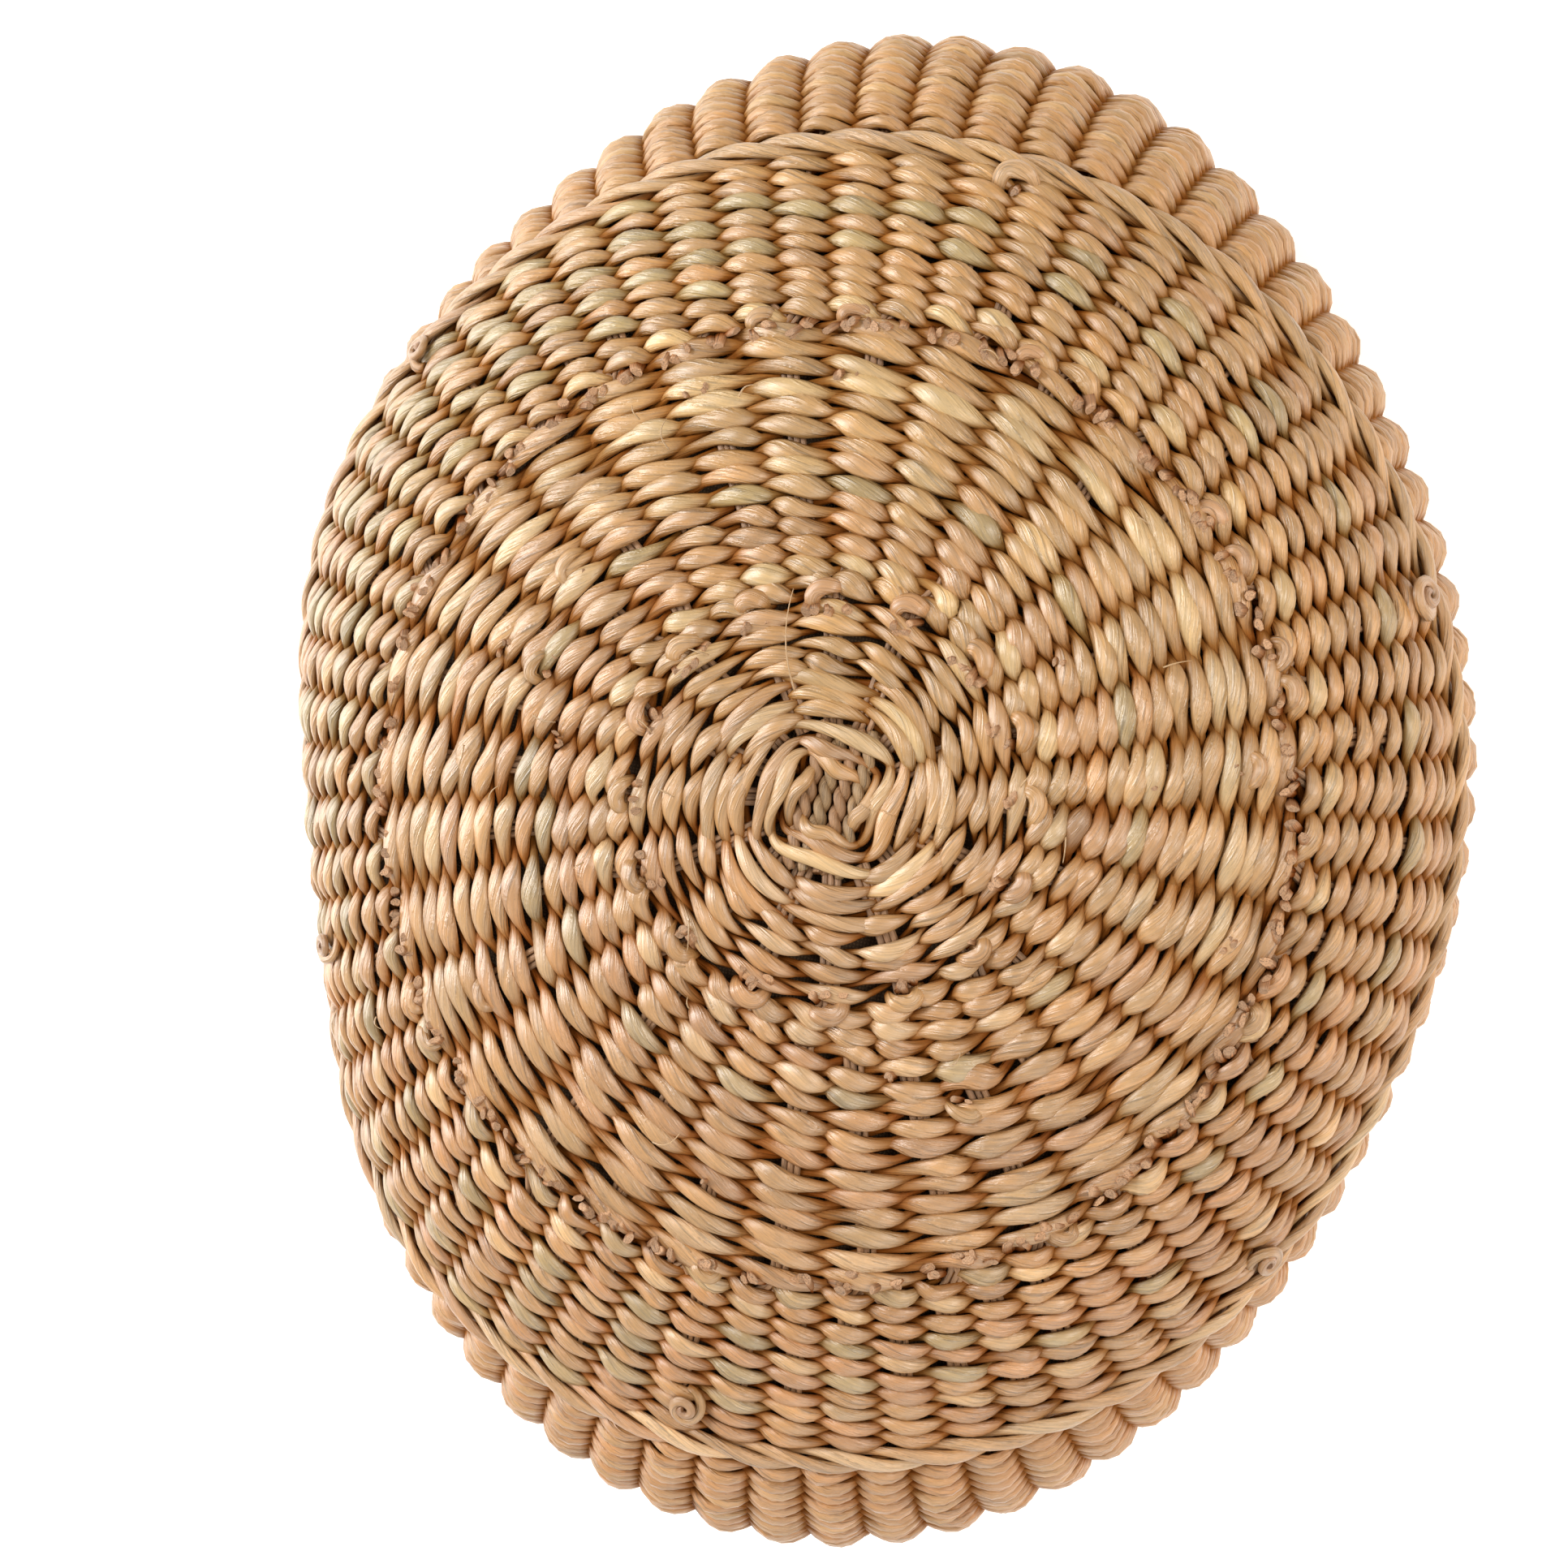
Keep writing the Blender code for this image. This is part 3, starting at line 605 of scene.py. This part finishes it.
def rush_material(name, streak=1.0, rough=0.5, bump=0.5, gain=1.0, coat=0.95):
    """Dried rush: fibres that run along the strand, blotches, creases darkened with painted shade and a
    satin skin.
    """
    made = bpy.data.materials.new(name)
    made.use_nodes = True
    tree = made.node_tree
    shader = tree.nodes["Principled BSDF"]
    straight = node(tree, "ShaderNodeAttribute", attribute_name="straight")
    tint = node(tree, "ShaderNodeAttribute", attribute_name="tint")

    def stretched(along, across):
        scale = node(tree, "ShaderNodeMapping")
        scale.inputs["Scale"].default_value = (along, across, across)
        link(tree, straight.outputs["Vector"], scale.inputs["Vector"])
        return scale.outputs["Vector"]

    def noise(vector, detail, rough_value=0.5):
        n = node(tree, "ShaderNodeTexNoise")
        n.inputs["Scale"].default_value = 1.0
        n.inputs["Detail"].default_value = detail
        n.inputs["Roughness"].default_value = rough_value
        link(tree, vector, n.inputs["Vector"])
        return n.outputs["Fac"]

    def span(value, low, high, out_low, out_high):
        m = node(tree, "ShaderNodeMapRange")
        m.inputs["From Min"].default_value = low
        m.inputs["From Max"].default_value = high
        m.inputs["To Min"].default_value = out_low
        m.inputs["To Max"].default_value = out_high
        link(tree, value, m.inputs["Value"])
        return m.outputs["Result"]

    def product(a, b):
        m = node(tree, "ShaderNodeMath", operation="MULTIPLY")
        link(tree, a, m.inputs[0])
        link(tree, b, m.inputs[1])
        return m.outputs["Value"]

    fibres = noise(stretched(0.035, 2.1), 3.0, 0.65)
    creases = noise(stretched(0.05, 1.3), 2.0, 0.5)
    blotches = noise(stretched(0.07, 0.16), 2.0, 0.6)
    specks = noise(stretched(0.9, 1.6), 2.0, 0.5)

    fine = span(fibres, 0.32, 0.68, 1 - 0.27 * streak, 1 + 0.20 * streak)
    # painted shade: the colour is darkened along the creases, which the bump also sinks
    crease_shade = span(creases, 0.31, 0.40, 1 - 0.40 * streak, 1.0)
    broad = span(blotches, 0.3, 0.7, 0.88 * gain, 1.12 * gain)
    speck = span(specks, 0.24, 0.32, 0.80, 1.0)
    bright = product(product(fine, crease_shade), product(broad, speck))

    scaled = node(tree, "ShaderNodeVectorMath", operation="SCALE")
    link(tree, tint.outputs["Color"], scaled.inputs[0])
    link(tree, bright, scaled.inputs["Scale"])
    hue = node(tree, "ShaderNodeMix", data_type="RGBA", blend_type="MULTIPLY")
    hue.inputs["B"].default_value = (1.0, 0.88, 0.74, 1)
    link(tree, span(blotches, 0.42, 0.75, 0.0, 0.34), hue.inputs["Factor"])
    link(tree, scaled.outputs["Vector"], hue.inputs["A"])
    link(tree, hue.outputs["Result"], shader.inputs["Base Color"])
    link(tree, span(fibres, 0.25, 0.75, rough + 0.08, rough - 0.08), shader.inputs["Roughness"])
    # the painted shade in the tint's alpha also turns the gloss and the coat down deep between the strands
    link(tree, span(tint.outputs["Alpha"], 0.35, 1.0, 0.05, 1.0), shader.inputs["Specular IOR Level"])
    link(tree, span(tint.outputs["Alpha"], 0.35, 1.0, 0.0, coat), shader.inputs["Coat Weight"])
    shader.inputs["Coat Roughness"].default_value = 0.44
    shader.inputs["Coat IOR"].default_value = 1.62
    relief = node(tree, "ShaderNodeBump")
    relief.inputs["Strength"].default_value = bump
    relief.inputs["Distance"].default_value = 0.0006
    height = node(tree, "ShaderNodeMath", operation="MULTIPLY_ADD")
    height.inputs[1].default_value = 0.6
    link(tree, fibres, height.inputs[0])
    link(tree, span(creases, 0.30, 0.50, 0.0, 1.0), height.inputs[2])
    link(tree, height.outputs["Value"], relief.inputs["Height"])
    link(tree, relief.outputs["Normal"], shader.inputs["Normal"])
    link(tree, relief.outputs["Normal"], shader.inputs["Coat Normal"])
    return made


def cloth_material(name):
    """Plain-woven cotton liner; its dark brown is partly painted shade for where it shows between the
    strands.
    """
    made = bpy.data.materials.new(name)
    made.use_nodes = True
    tree = made.node_tree
    shader = tree.nodes["Principled BSDF"]
    place = node(tree, "ShaderNodeTexCoord")
    heights = []
    for turn in (0.0, math.pi / 2):
        lay = node(tree, "ShaderNodeMapping")
        lay.inputs["Rotation"].default_value = (0, 0, turn)
        link(tree, place.outputs["Object"], lay.inputs["Vector"])
        thread = node(tree, "ShaderNodeTexWave", wave_type="BANDS", bands_direction="X")
        thread.inputs["Scale"].default_value = 330.0
        thread.inputs["Distortion"].default_value = 0.8
        link(tree, lay.outputs["Vector"], thread.inputs["Vector"])
        heights.append(thread.outputs["Fac"])
    weave = node(tree, "ShaderNodeMath", operation="MULTIPLY")
    link(tree, heights[0], weave.inputs[0])
    link(tree, heights[1], weave.inputs[1])
    # painted shade: the liner's dark brown is set to the shade seen in the gaps between the strands
    colour = node(tree, "ShaderNodeValToRGB")
    colour.color_ramp.elements[0].color = (0.100, 0.055, 0.027, 1)
    colour.color_ramp.elements[1].color = (0.210, 0.125, 0.065, 1)
    link(tree, weave.outputs["Value"], colour.inputs["Fac"])
    link(tree, colour.outputs["Color"], shader.inputs["Base Color"])
    shader.inputs["Roughness"].default_value = 0.95
    relief = node(tree, "ShaderNodeBump")
    relief.inputs["Strength"].default_value = 0.4
    relief.inputs["Distance"].default_value = 0.0004
    link(tree, weave.outputs["Value"], relief.inputs["Height"])
    link(tree, relief.outputs["Normal"], shader.inputs["Normal"])
    return made


# ------------------------------ camera, first
# the camera's tilt and roll against the pad, its distance from the crown and its framing
TILT_X = 0.225
TILT_Y = 0.065
ROLL = -0.203
DISTANCE = 0.550
LENS = 47.6
SHIFT_X = -0.0021
SHIFT_Y = 0.0233


def make_camera():
    """The photo's camera, nearly straight above; returns its right, up and back directions."""
    sx, cx = math.sin(TILT_X), math.cos(TILT_X)
    sy, cy = math.sin(TILT_Y), math.cos(TILT_Y)
    back = Vector((sx * cy, sy, cx * cy))
    up = Vector((-sx * sy, cy, -cx * sy))
    right = Vector((cx, 0.0, -sx))
    unroll = Matrix.Rotation(-ROLL, 3, "Z")
    back, up, right = unroll @ back, unroll @ up, unroll @ right
    data = bpy.data.cameras.new("camera")
    data.lens = LENS
    data.sensor_width = 36.0
    data.shift_x = SHIFT_X
    data.shift_y = SHIFT_Y
    data.clip_start = 0.01
    data.clip_end = 50.0
    made = placed("camera", data)
    turned = Matrix((right, up, back)).transposed().to_4x4()
    place = Vector((0.0, 0.0, HEIGHT * MM)) + back * DISTANCE
    made.matrix_world = Matrix.Translation(place) @ turned
    bpy.context.scene.camera = made
    return right, up, back


right_dir, up_dir, back_dir = make_camera()

# ------------------------------ build
rng = np.random.default_rng(SEED)
dome = dome_skin()
under = underside_skin()
rush = rush_material("rush_strands", streak=0.88, rough=0.40, gain=0.96)
rush_side = rush_material("rush_side", streak=0.8, rough=0.5, gain=0.97, coat=0.7)
stem = rush_material("stake_stems", streak=1.1, rough=0.62, gain=0.85, coat=0.1)
rope_rush = rush_material("rope_rush", streak=1.0, rough=0.52)
knots = rush_material("cut_ends", streak=1.3, rough=0.7, coat=0.1)
cloth = cloth_material("liner_cotton")


def squared(strength):
    """Stretches a round row towards a rounded square, which it is at a strength of 1."""
    def shape(angle, level):
        c = np.abs(np.cos(angle))
        s = np.abs(np.sin(angle))
        box = 1 / (c ** 5 + s ** 5) ** 0.2
        return 1 + strength * (box - 1)
    return shape


def adopt(piece, slot_name, *nodes):
    """Ride on the body and stand for the CAD nodes, which are hidden. The slot name is not used."""
    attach(piece, "root")
    if nodes:
        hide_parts(*nodes)


def make_cross():
    """The squared rounds that bind the start cross, and the first long strands lashed over its arms."""
    binding = Store()
    for level, square in SQUARE_ROWS:
        twined_row(binding, dome, rng, level, 4, 4.0, 40, 2.9, 2.35, thick=1.55, flat=0.8, green=0.12,
                   shape=squared(square), offset=-0.06, lean=0.46, tip=0.25, jitter=1.3)
    for middle, level in ((math.radians(3), 20.8), (math.radians(170), 21.0)):
        float_strand(binding, dome, rng, middle, level, 11.5, 0.12, 1.7, colour=STRAW)
    adopt(binding.build("cross_binding", rush), "rush_pale", "cross_binding_far", "cross_binding_near")


def make_inner():
    """Rounds over pairs of stakes, then over single stakes, out to the first ring."""
    store = Store()
    for level in PAIR_ROWS:
        twined_row(store, dome, rng, level, BASE_STAKES // 2, 4.0, 26, 2.5, 2.5, thick=1.6, flat=0.7,
                   green=0.1, shape=squared(0.12), offset=math.pi / BASE_STAKES, lean=0.36, tip=0.3,
                   jitter=1.4)
    for level in SINGLE_ROWS:
        twined_row(store, dome, rng, level, BASE_STAKES, 4.9, 18, 2.4, 2.55, thick=1.6, flat=0.85,
                   green=0.25, jitter=1.4)
    adopt(store.build("inner_rounds_weave", rush), "rush_warm", "inner_rounds")


def make_middle():
    """Rounds between the two rings, with long stitches and a greener last pair."""
    store = Store()
    levels = np.linspace(FIRST_RING + 3.5, SECOND_RING - 2.8, MIDDLE_ROWS)
    pitch = levels[1] - levels[0]
    for i, level in enumerate(levels):
        green = 0.22 if i < MIDDLE_ROWS - 2 else 0.7
        twined_row(store, dome, rng, level, MIDDLE_STAKES, pitch, 13, 2.1, pitch * 0.56, green=green,
                   lean=0.34, tip=0.25, sides=8, bow=0.2 if i == 0 else 0.0, jitter=1.2)
    adopt(store.build("middle_rounds_weave", rush), "rush_pale", "middle_rounds")


def make_outer():
    """Rounds from the second ring to the shoulder, in neat columns of short stitches."""
    store = Store()
    levels = np.linspace(SECOND_RING + 3.2, SHOULDER - 6.2, OUTER_ROWS)
    pitch = levels[1] - levels[0]
    for i, level in enumerate(levels):
        twined_row(store, dome, rng, level, OUTER_STAKES, pitch, 8, 2.2, pitch * 0.50,
                   green=OUTER_GREENS[i], sides=9, lean=0.28, tip=0.25, bow=0.24 if i == 0 else 0.03,
                   cast=OUTER_CAST)
    adopt(store.build("outer_rounds_weave", rush), "rush_warm", "outer_rounds")


def make_wale():
    """The rope-like round along the edge of the crown."""
    store = Store()
    rope_row(store, dome, rng, SHOULDER, 63, 2.2, 2.3, 2.25, 1.6, -2.7)
    adopt(store.build("shoulder_wale_rope", rope_rush), "rush_rope", "shoulder_wale")


def make_side(name, start, end, rows, slot_name, node_name):
    """Tight rounds down the side, each column of stitches swelling over its stake."""
    store = Store()
    levels = np.linspace(start, end, rows)
    pitch = levels[1] - levels[0]
    for level in levels:
        near_foot = min(max((level - TUCK_LEVEL) / TUCK_LENGTH, 0.0), 1.0)
        twined_row(store, dome, rng, level, SIDE_STAKES, pitch, 6, 4.0, pitch * 0.66, thick=1.7, flat=1.0,
                   mid=-5.3 - 1.3 * near_foot, green=0.08, sides=8, lean=0.2, tip=0.42, jitter=0.7,
                   calm=0.6, cast=SIDE_CAST)
    adopt(store.build(name, rush_side), slot_name, node_name)


def make_foot():
    """The three-strand border that turns the side into the underside."""
    store = Store()
    samples = OUTER_STAKES * 7
    angle = np.arange(samples) / samples * TAU
    radius = plan_radius(angle) - FOOT_INSET
    for strand in range(3):
        theta = FOOT_TWISTS * angle + TAU * strand / 3
        centre = np.zeros((samples, 3))
        reach = radius + 2.2 * np.sin(theta)
        centre[:, 0] = reach * np.cos(angle)
        centre[:, 1] = reach * np.sin(angle)
        centre[:, 2] = 5.2 - 2.2 * np.cos(theta)
        down = np.zeros((samples, 3))
        down[:, 2] = -1
        side, up = frames(centre, down, True)
        width = np.full(samples, 2.3)
        tint = strand_tint(rng, angle, theta / TAU, 3 * FOOT_TWISTS, 0.15)
        store.tube(centre, side, up, width, width * 0.88, tint, closed=True, rng=rng)
    adopt(store.build("foot_border_rope", rope_rush), "rush_rope", "foot_border")


def make_underside():
    """The flat underside, woven in three zones round a small closed middle."""
    reach = WIDTH / 2 - UNDERSIDE_EDGE
    zones = (
        ("outer", 0.69, 1.0, OUTER_STAKES, 6, "rush_warm"),
        ("middle", 0.31, 0.69, MIDDLE_STAKES, 9, "rush_pale"),
        ("inner", 0.08, 0.31, BASE_STAKES, 14, "rush_warm"),
    )
    for zone, low, high, stakes, steps, slot_name in zones:
        store = Store()
        count = int(round((high - low) * reach / UNDERSIDE_PITCH))
        step = (high - low) * reach / count
        for i in range(count):
            level = low * reach + (i + 0.5) * step
            twined_row(store, under, rng, level, stakes, step, steps, 2.1, step * 0.47, thick=1.5,
                       mid=UNDERSIDE_MIDDLE, flat=0.75, green=0.2, sides=8)
        woven = store.build(f"underside_{zone}_weave", rush_side)
        adopt(woven, slot_name, f"underside_{zone}_rounds")
    store = Store()
    for level, stakes in ((3.6, 4), (7.4, 8)):
        twined_row(store, under, rng, level, stakes, 4.2, 20, 2.0, 2.0, thick=1.5, mid=UNDERSIDE_MIDDLE,
                   flat=0.6, sides=8)
    adopt(store.build("underside_centre_weave", rush_side), "rush_warm", "underside_centre")


def evenly(count):
    """Plan angles halfway between an even division of the round."""
    return [(i + 0.5) * TAU / count for i in range(count)]


def make_stakes():
    """The stems of every stake, which show between the strands."""
    base = Store()
    for angle in evenly(BASE_STAKES):
        stem_bundle(base, dome, rng, (angle, -1, -1), 19.0, SHOULDER + 4, STEMS)
    crossing(base)
    names = [f"{way}_stake_{i}" for way in ("lengthwise", "crosswise") for i in range(1, 5)]
    adopt(base.build("base_stake_stems", stem), "stake_stems", *names)
    first = Store()
    for angle in evenly(BASE_STAKES):
        stem_bundle(first, dome, rng, (angle, 1, -1), FIRST_RING - 4, SHOULDER + 4, STEMS)
    names = [f"added_stake_{i}" for i in range(1, 17)]
    adopt(first.build("first_added_stems", stem), "stake_stems", *names)
    second = Store()
    for angle in evenly(BASE_STAKES):
        for turn in (-1, 1):
            stem_bundle(second, dome, rng, (angle, turn, 1), SECOND_RING - 4, SHOULDER + 4, STEMS)
    adopt(second.build("second_added_stems", stem), "stake_stems")
    side = Store()
    for angle in evenly(SIDE_STAKES):
        stem_bundle(side, dome, rng, (angle, 0, 0), SHOULDER + 1, FOOT_LEVEL - 8, STEMS, height=-5.6)
    adopt(side.build("side_stems", stem), "stake_stems")


def make_underside_stakes():
    """The underside's stems, every fourth bundle from the middle and the rest from further out."""
    store = Store()
    samples = 24
    for i, angle in enumerate(evenly(OUTER_STAKES)):
        start = 2.0 if i % 4 == 0 else 44.0
        levels = np.linspace(start, WIDTH / 2 - UNDERSIDE_EDGE, samples)
        angles = np.full(samples, angle)
        normal = under.normal(levels, angles)
        line = under.at(levels, angles, -4.0)
        size = np.full(samples, 0.8)
        for k in range(STEMS):
            side, _ = frames(line, normal, False)
            centre = line + side * (k - 1) * 1.6
            side, up = frames(centre, normal, False)
            tint = STEM_BROWN * rng.uniform(0.7, 1.2) * np.ones((samples, 1))
            store.tube(centre, side, up, size, size, tint, sides=6, twist=0.02, rng=rng, ridge=0.0)
    names = [f"underside_{kind}_stake_{i}" for kind in ("long", "cross") for i in range(1, 5)]
    adopt(store.build("underside_stems", stem), "stake_stems", *names)

def crossing(store):
    """Twisted two-ply stakes through the middle: the lengthwise ones over the crosswise ones."""
    for lengthwise, height, count in ((False, -8.2, 4), (True, -4.4, 4)):
        for i in range(count):
            offset = (i - (count - 1) / 2) * 4.5
            t = np.linspace(-20, 20, 60)
            for ply in (0, 1):
                swirl = t / 5.2 * math.pi + ply * math.pi + i
                a = offset + 0.95 * np.cos(swirl) + 0.07 * t
                h = height + 0.95 * np.sin(swirl)
                px = a if lengthwise else t
                py = t if lengthwise else a
                level = np.hypot(px, py)
                angle = np.arctan2(py, px)
                centre = dome.at(level, angle, h)
                side, up = frames(centre, dome.normal(level, angle), False)
                size = np.full(len(t), 1.45)
                colour = STEM_BROWN * 0.5 + (OLIVE if i % 2 else ROSY) * 0.45
                tint = colour * rng.uniform(0.85, 1.1) * np.ones((len(t), 1))
                store.tube(centre, side, up, size, size * 0.92, tint, sides=8, twist=0.3, rng=rng,
                           height=h + 1.2)


def make_knots():
    """Cut ends at both rings, splices between them, and the strands bent round them."""
    store = Store()
    bends = Store()
    for home in evenly(BASE_STAKES):
        angle = home + rng.normal(0, 0.012)
        level = FIRST_RING + 0.4 + rng.normal(0, 0.4)
        cut_cluster(store, dome, rng, level - 0.9, angle, int(rng.integers(3, 6)), reach=5.2, spread=2.2,
                    size=1.8)
        arched_strand(bends, dome, rng, level, angle, 3.7, 3.1, 2.6,
                      colour=(STRAW, HONEY, ROSY)[int(rng.integers(0, 3))])
    for home in evenly(OUTER_STAKES):
        angle = home + rng.normal(0, 0.006)
        level = SECOND_RING + 0.1 + rng.normal(0, 0.35)
        cut_cluster(store, dome, rng, level, angle, int(rng.integers(3, 5)), reach=5.3, spread=2.5,
                    size=1.85)
        if rng.uniform() < 0.2:
            arched_strand(bends, dome, rng, level, angle, 3.3, 2.5, 2.1, lift=-1.8,
                          colour=(STRAW, HONEY, ROSY)[int(rng.integers(0, 3))])
    for i in range(SPLICES):
        angle = rng.uniform(0, TAU)
        level = rng.uniform(74, 122)
        cut_cluster(store, dome, rng, level, angle, int(rng.integers(2, 4)), reach=4.6, spread=1.5,
                    size=1.15)
        if i % 3 == 0:
            arched_strand(bends, dome, rng, level + 0.5, angle, 3.6, 2.6, 2.0, colour=(STRAW, HONEY)[i % 2])
    adopt(store.build("cut_stem_ends", knots), "stake_stems")
    adopt(bends.build("bent_strands", rush), "rush_warm")


def make_curls():
    """Strand ends left near the shoulder: the first is a thick bent loop, the others are rolled up."""
    for i, (degrees, level, size) in enumerate(CURLS):
        store = Store()
        angle = math.radians(degrees)
        if i == 0:
            arched_strand(store, dome, rng, level, angle, 4.0, 3.6, 2.5, thick=2.0, lift=0.0,
                          colour=CREAM * 0.5 + ROSY * 0.5)
            cut_cluster(store, dome, rng, level + 0.6, angle, 2, reach=5.4, spread=2.2, size=1.5)
        else:
            begin = rng.uniform(0, TAU)
            curled_end(store, dome, rng, level, angle, size, 1.9, 0.36 * size, begin)
        adopt(store.build(f"curl_{i + 1}", rush), "rush_warm", f"curled_end_{i + 1}")


def make_fibres():
    """One long loose fibre near the middle, as in the photo, and short ones over the crown."""
    store = Store()
    stray_fibre(store, dome, rng, 30.0, math.radians(119.0), -0.30, 27.0)
    for _ in range(STRAY_FIBRES):
        stray_fibre(store, dome, rng, rng.uniform(40, 150), rng.uniform(0, TAU), rng.uniform(0, TAU),
                    rng.uniform(3, 9), bend=rng.uniform(-0.4, 0.4), lift=0.2)
    adopt(store.build("stray_fibres", rush), "rush_pale")


def make_liner():
    """The stuffed liner: a closed cushion just inside the weave."""
    count = 96
    levels = np.concatenate([np.linspace(4, 190, 22), np.linspace(198, FOOT_LEVEL - 3, 18)])
    angles = np.arange(count) / count * TAU
    verts = [dome.at(np.array([0.0]), np.array([0.0]), np.array([-11.0]))[0]]
    faces = []
    for level in levels:
        verts.extend(dome.at(np.full(count, level), angles, np.full(count, -10.6)))
    rings = len(levels)
    for s in range(count):
        t = (s + 1) % count
        faces.append((0, 1 + s, 1 + t))
        for k in range(rings - 1):
            a = 1 + k * count
            b = a + count
            faces.append((a + s, b + s, b + t, a + t))
    low = len(verts)
    verts.append(np.array([0.0, 0.0, 9.6]))
    last = 1 + (rings - 1) * count
    for s in range(count):
        faces.append((last + s, low, last + (s + 1) % count))
    mesh = bpy.data.meshes.new("stuffed_liner")
    mesh.from_pydata([tuple(float(c) * MM for c in v) for v in verts], [], faces)
    mesh.update()
    mesh.polygons.foreach_set("use_smooth", np.ones(len(mesh.polygons), bool))
    mesh.materials.append(cloth)
    made = placed("stuffed_liner", mesh)
    adopt(made, "liner_cloth", "liner_top", "liner_bottom", "filling")


def make_stage():
    """A pale floor and soft light from beyond the far end."""
    mesh = bpy.data.meshes.new("floor")
    mesh.from_pydata([(-4, -4, 0), (4, -4, 0), (4, 4, 0), (-4, 4, 0)], [], [(0, 1, 2, 3)])
    pale = bpy.data.materials.new("pale_floor")
    pale.use_nodes = True
    shader = pale.node_tree.nodes["Principled BSDF"]
    shader.inputs["Base Color"].default_value = (0.97, 0.97, 0.97, 1)
    shader.inputs["Roughness"].default_value = 0.9
    shader.inputs["Emission Color"].default_value = (1.0, 1.0, 1.0, 1)
    shader.inputs["Emission Strength"].default_value = 0.40
    mesh.materials.append(pale)
    floor = placed("floor", mesh)

    def lamp(name, place, size, power, colour):
        data = bpy.data.lights.new(name, "AREA")
        data.shape = "DISK"
        data.size = size
        data.energy = power
        data.color = colour
        made = placed(name, data)
        made.location = place
        made.rotation_mode = "QUATERNION"
        made.rotation_quaternion = (Vector(place) - Vector((0, 0, 0.08))).to_track_quat("Z", "Y")

    for name, back, up, right, size, power, colour in LAMPS:
        place = back_dir * back + up_dir * up + right_dir * right
        lamp(name, tuple(place * LAMP_REACH), size, power, colour)
    world = bpy.data.worlds.new("studio")
    world.use_nodes = True
    world.node_tree.nodes["Background"].inputs["Color"].default_value = (1.0, 0.94, 0.85, 1)
    world.node_tree.nodes["Background"].inputs["Strength"].default_value = 0.47
    bpy.context.scene.world = world
    bpy.context.scene.view_settings.view_transform = "Standard"
    bpy.context.scene.view_settings.look = "None"


make_cross()
make_inner()
make_middle()
make_outer()
make_wale()
make_side("upper_side_weave", SHOULDER + 6.2, WAIST_LEVEL - 2.0, UPPER_SIDE_ROWS, "rush_pale",
          "upper_side_rounds")
make_side("lower_side_weave", WAIST_LEVEL + 2.3, FOOT_LEVEL - 7.8, LOWER_SIDE_ROWS, "rush_warm",
          "lower_side_rounds")
make_foot()
make_underside()
make_stakes()
make_underside_stakes()
make_knots()
make_curls()
make_fibres()
make_liner()
make_stage()
